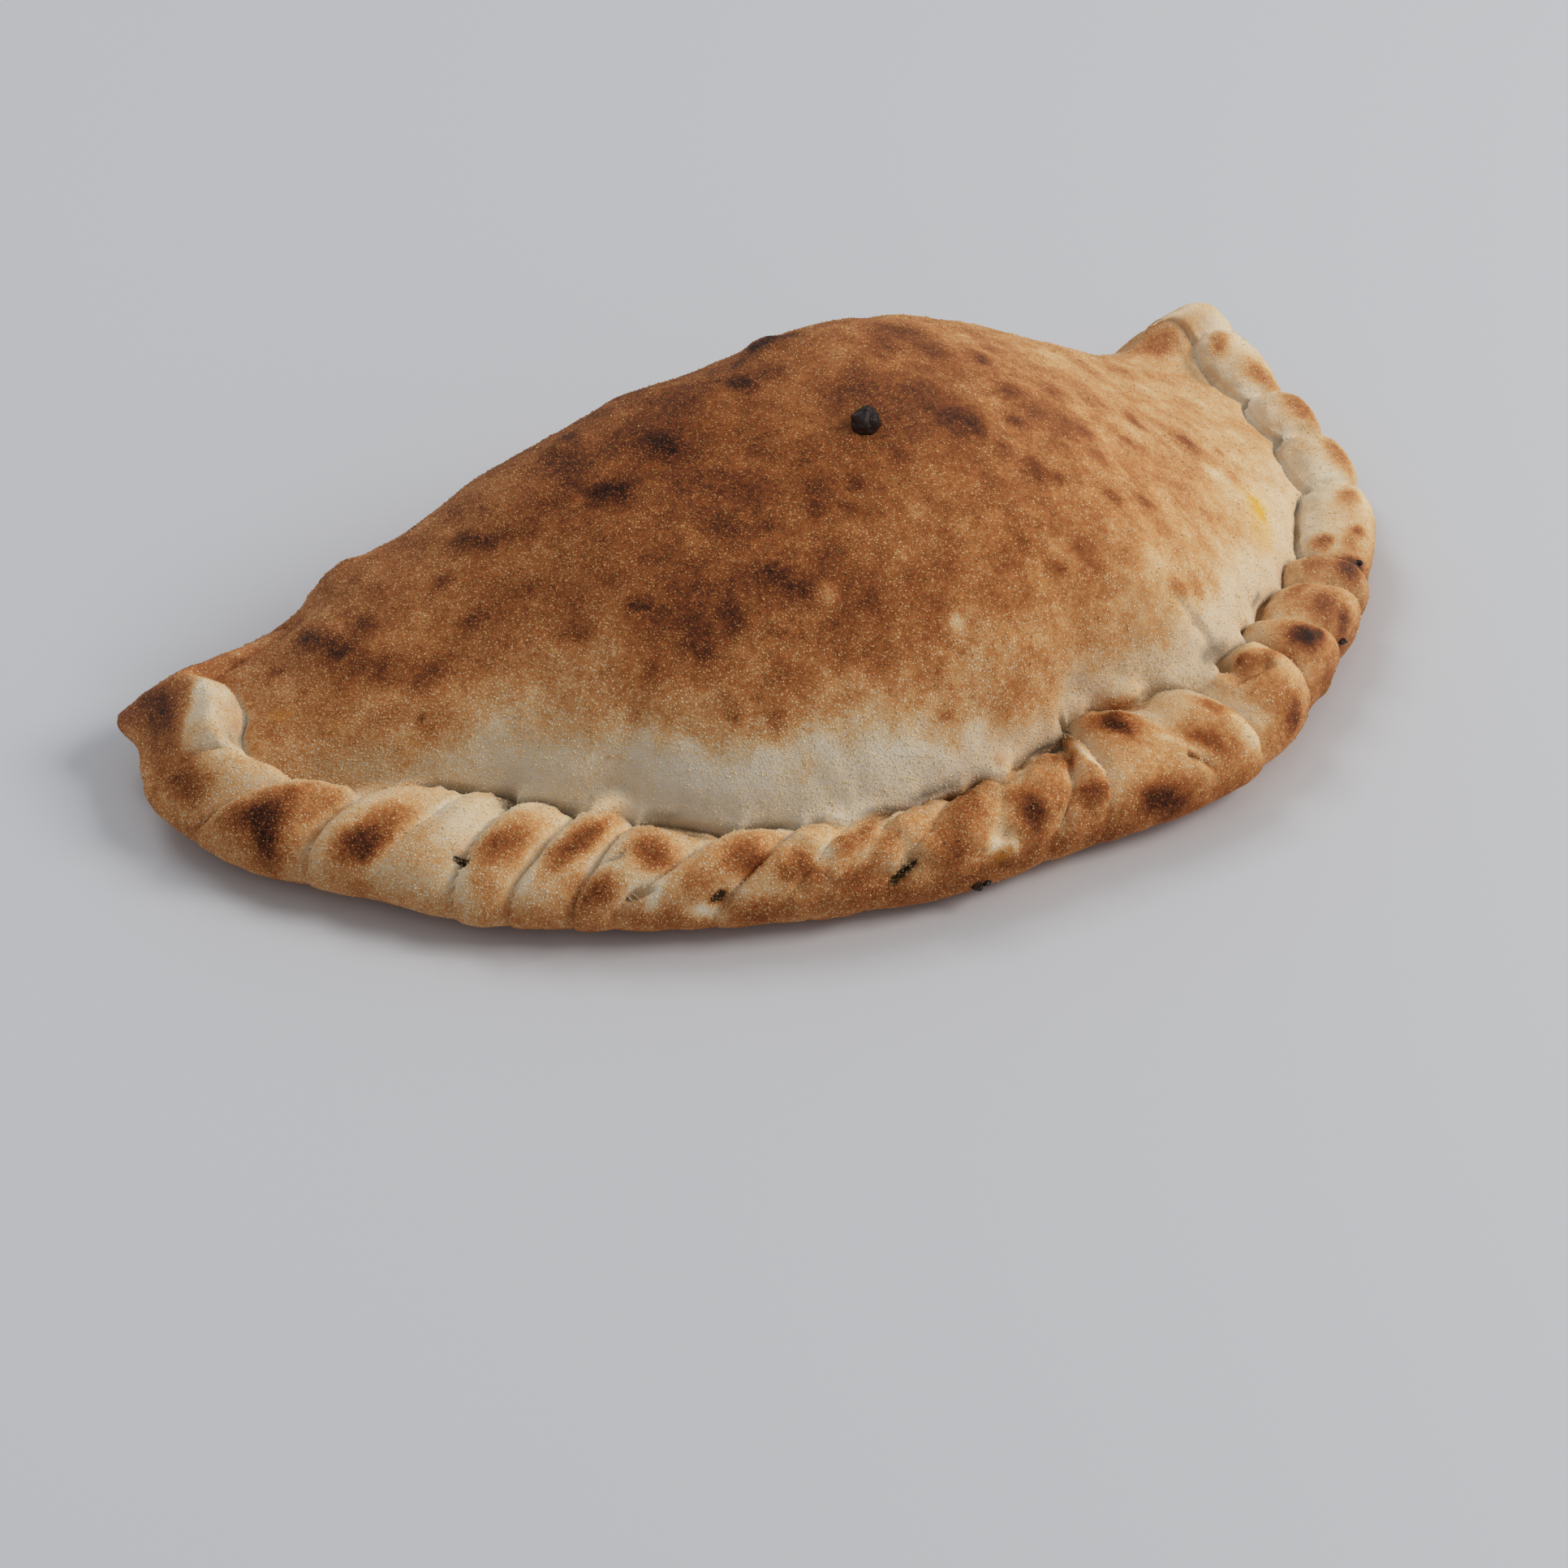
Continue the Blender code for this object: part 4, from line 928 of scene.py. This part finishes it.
def crust_material():
    material, tree, shader = new_material("baked_crust", 0.82)
    coordinates = tree.nodes.new("ShaderNodeTexCoord").outputs["Object"]
    brown = attribute(tree, "brown")
    large = noise_node(tree, coordinates, 4.0, 3.0)
    small = noise_node(tree, coordinates, 1.3, 2.0)
    grit = noise_node(tree, coordinates, 0.45, 1.0)
    sway = maths(tree, "MULTIPLY", maths(tree, "SUBTRACT", large), 0.24)
    sway = maths(tree, "ADD", sway, maths(tree, "MULTIPLY", maths(tree, "SUBTRACT", small), 0.32))
    sway = maths(tree, "ADD", sway, maths(tree, "MULTIPLY", maths(tree, "SUBTRACT", grit), 0.30))
    calm = maths(tree, "MULTIPLY_ADD", brown, 1.5, 0.30, clamp=True)
    baked = maths(tree, "ADD", brown, maths(tree, "MULTIPLY", sway, calm))
    # The finest semolina: pale specks, each in its own cell, thinner where the crust is less dusted.
    cells = node(tree, "ShaderNodeTexVoronoi", Scale=1000.0 / SPECK_CELL)
    tree.links.new(coordinates, cells.inputs["Vector"])
    apart = node(tree, "ShaderNodeSeparateColor")
    tree.links.new(cells.outputs["Color"], apart.inputs[0])
    near = maths(tree, "SUBTRACT", 0.42, cells.outputs["Distance"])
    near = maths(tree, "MULTIPLY", near, 6.0, clamp=True)
    chosen = maths(tree, "LESS_THAN", apart.outputs[0], attribute(tree, "dust"))
    speck = maths(tree, "MULTIPLY", near, chosen)
    paler = maths(tree, "MULTIPLY_ADD", apart.outputs[1], 0.30, 0.08)
    baked = maths(tree, "SUBTRACT", baked, maths(tree, "MULTIPLY", speck, paler), clamp=True)
    colour = ramp(tree, baked, CRUST_STOPS)
    # A painted grey sheen, as of light at grazing angles, lies over the far edge and the right.
    place = node(tree, "ShaderNodeSeparateXYZ")
    tree.links.new(coordinates, place.inputs[0])
    right, back = place.outputs[0], place.outputs[1]
    farness = maths(tree, "MULTIPLY_ADD", back, 30.0, -1.0, clamp=True)
    right_end = maths(tree, "MULTIPLY_ADD", back, 8.0, -0.05)
    right_end = maths(tree, "ADD", maths(tree, "MULTIPLY", right, 12.0), right_end, clamp=True)
    sheen_mask = maths(tree, "MAXIMUM", farness, right_end)
    colour = mix(tree, maths(tree, "MULTIPLY", sheen_mask, SHEEN_SHARE), colour, SHEEN_COLOUR)
    # Leaked filling is yellow at the right end and orange elsewhere.
    rightward = maths(tree, "MULTIPLY_ADD", right, 40.0, -3.2, clamp=True)
    colour = mix(tree, attribute(tree, "stain"), colour, ramp(tree, rightward, LEAK_STOPS))
    # Painted shade darkens the crease, its hollows and the deep slits.
    colour = mix(tree, attribute(tree, "painted_shade"), colour, PAINTED_SHADE_COLOUR)
    # Slits and holes of the rim are painted dark inside as shade, with a crisp, slightly ragged edge.
    ragged = maths(tree, "MULTIPLY_ADD", small, 0.6, 0.70)
    inside = maths(tree, "SUBTRACT", ragged, attribute(tree, "pit"))
    colour = mix(tree, maths(tree, "MULTIPLY", inside, 3.0, clamp=True), colour, PIT_SHADE_COLOUR)
    tree.links.new(colour, shader.inputs["Base Color"])
    height = maths(tree, "ADD", maths(tree, "MULTIPLY", small, 0.6), maths(tree, "MULTIPLY", grit, 0.4))
    height = maths(tree, "ADD", height, maths(tree, "MULTIPLY", speck, 0.35))
    relief = node(tree, "ShaderNodeBump", Strength=0.55, Distance=0.0005)
    tree.links.new(height, relief.inputs["Height"])
    tree.links.new(relief.outputs[0], shader.inputs["Normal"])
    tree.links.new(maths(tree, "MULTIPLY_ADD", brown, -0.18, 0.90), shader.inputs["Roughness"])
    shader.inputs["Specular IOR Level"].default_value = 0.12
    return material


GRAIN_STOPS = (
    (0, (0.95, 0.81, 0.54)), (0.3, (0.88, 0.6, 0.28)), (0.55, (0.64, 0.35, 0.125)), (1, (0.2, 0.08, 0.025)),
)
CHAR_STOPS = ((0.3, (0.01, 0.005, 0.004)), (0.6, (0.03, 0.013, 0.009)), (0.8, (0.08, 0.033, 0.018)))


def grain_material():
    """Semolina: pale yellow where the crust is pale, toasted where it is brown."""
    material, tree, shader = new_material("semolina", 0.8)
    tree.links.new(ramp(tree, attribute(tree, "toast"), GRAIN_STOPS), shader.inputs["Base Color"])
    shader.inputs["Specular IOR Level"].default_value = 0.05
    return material


def floor_material():
    material, _, shader = new_material("pale_floor", 0.55)
    shader.inputs["Base Color"].default_value = FLOOR_COLOUR
    return material


# ---------------------------------------------------------------- build the crust
crust_points, crust_face_list, crust_places = build_crust()
low, high = crust_points.min(axis=0), crust_points.max(axis=0)
cad_low, cad_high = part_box("calzone")
shift = np.array([
    0.5 * (cad_low.x + cad_high.x) / MM - 0.5 * (low[0] + high[0]),
    0.5 * (cad_low.y + cad_high.y) / MM - 0.5 * (low[1] + high[1]),
    0.0])
brownness = bake(crust_points, crust_places)
crust_normals = normals_of(crust_points, crust_face_list)
dusting = dustiness(crust_points, crust_places)
crust = make_mesh(
    "crust", crust_points + shift, crust_face_list,
    {"brown": brownness, "dust": dusting, "stain": stain(crust_points),
     "painted_shade": painted_shade(crust_points, crust_places), "pit": crust_places["pit"]},
    crust_material())
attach(crust, "root")
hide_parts("calzone")

# ---------------------------------------------------------------- burnt bubble near the crown
BUBBLE_X, BUBBLE_Y, BUBBLE_RADIUS, BUBBLE_RISE = 6.2, -51.5, 2.95, 1.3


def char_material():
    material, tree, shader = new_material("charred_bubble", 0.42)
    shader.inputs["Specular IOR Level"].default_value = 0.35
    coordinates = tree.nodes.new("ShaderNodeTexCoord").outputs["Object"]
    colour = ramp(tree, noise_node(tree, coordinates, 1.6, 3.0), CHAR_STOPS)
    tree.links.new(colour, shader.inputs["Base Color"])
    relief = node(tree, "ShaderNodeBump", Strength=0.6, Distance=0.0004)
    tree.links.new(noise_node(tree, coordinates, 0.5, 2.0), relief.inputs["Height"])
    tree.links.new(relief.outputs[0], shader.inputs["Normal"])
    return material


def burnt_bubble():
    """A lumpy little ball sitting in the crust."""
    bpy.ops.mesh.primitive_ico_sphere_add(subdivisions=5, radius=1.0)
    item = bpy.context.object
    item.name = "burnt_bubble"
    corners = np.array([vertex.co[:] for vertex in item.data.vertices])
    top = float(dome_height(np.array([BUBBLE_X]), np.array([BUBBLE_Y]))[0])
    folds = np.abs(noise(corners, 0.8, 51))
    lumps = 0.98 + 0.30 * folds + 0.12 * noise(corners, 0.35, 52)
    corners = corners * lumps[:, None] * BUBBLE_RADIUS * np.array([1.05, 0.92, 0.95])
    corners = corners + np.array([BUBBLE_X, BUBBLE_Y, top + BUBBLE_RISE]) + shift
    item.data.vertices.foreach_set("co", (corners * MM).ravel().astype(np.float32))
    item.data.update()
    item.data.shade_smooth()
    item.data.materials.append(char_material())
    return item


bubble = burnt_bubble()
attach(bubble, "root")

# ---------------------------------------------------------------- charred bits stuck to the rim
# (along, above, radius), in mm.
CHAR_BITS = ((172, -30.5, 1.2), (174.2, -30, 0.8), (320.5, -18.5, 0.8), (293.5, -25, 0.9))


def char_bits():
    """Flat lumpy crumbs, each sunk into the nearest point of the rim."""
    bpy.ops.mesh.primitive_ico_sphere_add(subdivisions=4, radius=1.0)
    ball = bpy.context.object
    unit = np.array([vertex.co[:] for vertex in ball.data.vertices])
    triangles = np.array([face.vertices[:] for face in ball.data.polygons])
    bpy.data.objects.remove(ball)
    points, faces = [], []
    for number, (along, above, radius) in enumerate(CHAR_BITS):
        gap = np.hypot(crust_places["distance"] - along, crust_places["arc"] - above)
        nearest = np.argmin(gap + 99.0 * ~crust_places["on_rope"])
        lumps = 0.95 + 0.35 * noise(unit + 3.0 * number, 0.7, 61)
        middle = crust_points[nearest] + 0.25 * radius * crust_normals[nearest]
        faces += (triangles + len(points) * len(unit)).tolist()
        points.append(middle + unit * lumps[:, None] * radius * np.array([1.2, 1.0, 0.7]))
    points = np.concatenate(points)
    points[:, 2] = np.maximum(points[:, 2], 0.05)
    return make_mesh("char_bits", points + shift, faces, material=bpy.data.materials["charred_bubble"])


bits = char_bits()
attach(bits, "root")

# ---------------------------------------------------------------- semolina grains
COARSE_GRAINS, FINE_GRAINS = 46000, 49000
COARSE_SIZES, FINE_SIZES = (0.13, 0.30), (0.09, 0.17)
GRAIN_STRETCH = 1.3


def scatter(points, faces, normals, weights, count, random):
    """Random places on the crust's quads, spread by area times the mean weight of the corners."""
    quads = np.array([face for face in faces if len(face) == 4])
    one = points[quads[:, 2]] - points[quads[:, 0]]
    two = points[quads[:, 3]] - points[quads[:, 1]]
    area = 0.5 * np.linalg.norm(np.cross(one, two), axis=1) * weights[quads].mean(axis=1)
    chosen = quads[random.choice(len(quads), size=count, p=area / area.sum())]
    u, v = random.random((2, count, 1))

    def blend(value):
        near = value[chosen[:, 0]] * (1 - u) + value[chosen[:, 1]] * u
        far = value[chosen[:, 3]] * (1 - u) + value[chosen[:, 2]] * u
        return near * (1 - v) + far * v

    return blend(points), blend(normals), blend


def grain_mesh(places, normals, sizes, random):
    """One mesh of small four-sided grains (tetrahedra), each turned at random and half sunk."""
    count = len(places)
    helper = random.normal(size=(count, 3))
    axis = normals + 0.8 * random.normal(size=(count, 3))
    axis /= np.linalg.norm(axis, axis=1, keepdims=True)
    side = np.cross(axis, helper)
    side /= np.linalg.norm(side, axis=1, keepdims=True)
    across = np.cross(axis, side)
    centre = places + normals * (0.15 * sizes)[:, None]
    corners = []
    for corner in range(3):
        around = 2.0 * math.pi * corner / 3
        reach = sizes * random.uniform(0.8, 1.3, count) * (GRAIN_STRETCH if corner == 0 else 1.0)
        corners.append(
            centre + (side * math.cos(around) + across * math.sin(around)) * reach[:, None]
            - axis * (0.3 * sizes)[:, None])
    tall = sizes * random.uniform(0.8, 1.2, count)
    corners.append(centre + axis * tall[:, None])
    points = np.stack(corners, axis=1).reshape(-1, 3)
    first = (np.arange(count) * 4)[:, None]
    pattern = ((0, 1, 3), (1, 2, 3), (2, 0, 3), (0, 2, 1))
    faces = np.concatenate([first + np.array(face)[None, :] for face in pattern])
    return points, faces.tolist()


def dust_grains(name, count, sizes, seed, material):
    """Grains of one kind, scattered over the crust where it is dusted."""
    random = np.random.default_rng(SEED + seed)
    hidden = (crust_normals[:, 2] < -0.15) | (crust_places["turn"] < 25.0)
    weight = dusting * np.where(hidden, 0.03, 1.0)
    weight = weight * np.where(crust_points[:, 1] > -12.0, 0.45, 1.0)
    weight = weight * (1.0 - 0.75 * smooth_step((brownness - 0.72) / 0.16))
    spots, facing, blend = scatter(crust_points, crust_face_list, crust_normals, weight, count, random)
    facing /= np.linalg.norm(facing, axis=1, keepdims=True)
    size = sizes[0] + (sizes[1] - sizes[0]) * random.random(count) ** 2.0
    corners, faces = grain_mesh(spots, facing, size, random)
    local = blend(brownness[:, None])[:, 0]
    toast = np.clip(local * 1.1 - 0.08 + 0.14 * random.normal(size=count), 0.0, 1.0)
    item = make_mesh(name, corners + shift, faces, {"toast": np.repeat(toast, 4)}, material, smooth=False)
    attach(item, "root")


semolina = grain_material()
dust_grains("semolina_grains", COARSE_GRAINS, COARSE_SIZES, 0, semolina)
dust_grains("semolina_dust", FINE_GRAINS, FINE_SIZES, 1, semolina)

# ---------------------------------------------------------------- floor, light, camera
bpy.ops.mesh.primitive_plane_add(size=4.0, location=(0.0, 0.0, -0.0002))
floor = bpy.context.object
floor.name = "floor"
floor.data.materials.append(floor_material())

world = bpy.data.worlds.new("studio")
bpy.context.scene.world = world
world.use_nodes = True
background = world.node_tree.nodes["Background"]
background.inputs["Color"].default_value = WORLD_COLOUR
background.inputs["Strength"].default_value = WORLD_STRENGTH


def area_light(name, place, power, colour):
    """A soft square light aimed at the origin."""
    lamp = bpy.data.lights.new(name, "AREA")
    lamp.shape = "SQUARE"
    lamp.size = LIGHT_SIZE
    lamp.energy = power
    lamp.color = colour
    item = bpy.data.objects.new(name, lamp)
    bpy.context.scene.collection.objects.link(item)
    item.location = place
    item.rotation_euler = (-Vector(place)).to_track_quat("-Z", "Y").to_euler()


area_light("window_left", (-0.25, 1.15, 1.45), 6.2, (0.97, 0.98, 1.0))
area_light("window_right", (1.25, -0.75, 1.25), 16.5, (1.0, 0.97, 0.93))

heading = math.radians(CAMERA_HEADING)
pitch = math.radians(CAMERA_PITCH)
look = Vector((
    math.cos(heading) * math.cos(pitch), math.sin(heading) * math.cos(pitch), -math.sin(pitch)))
lens = bpy.data.cameras.new("camera")
lens.lens = CAMERA_LENS
lens.sensor_width = 36.0
camera = bpy.data.objects.new("camera", lens)
bpy.context.scene.collection.objects.link(camera)
bpy.context.scene.camera = camera
side = look.cross(Vector((0.0, 0.0, 1.0))).normalized()
upright = side.cross(look)
turn_matrix = Matrix((side, upright, -look)).transposed().to_4x4()
camera.matrix_world = (
    Matrix.Translation(Vector(CAMERA_AIM) - look * CAMERA_DISTANCE)
    @ Matrix.Rotation(-math.radians(CAMERA_ROLL), 4, look)
    @ turn_matrix)

bpy.context.scene.view_settings.view_transform = "Standard"
bpy.context.scene.view_settings.look = "None"
bpy.context.scene.view_settings.exposure = 0.0
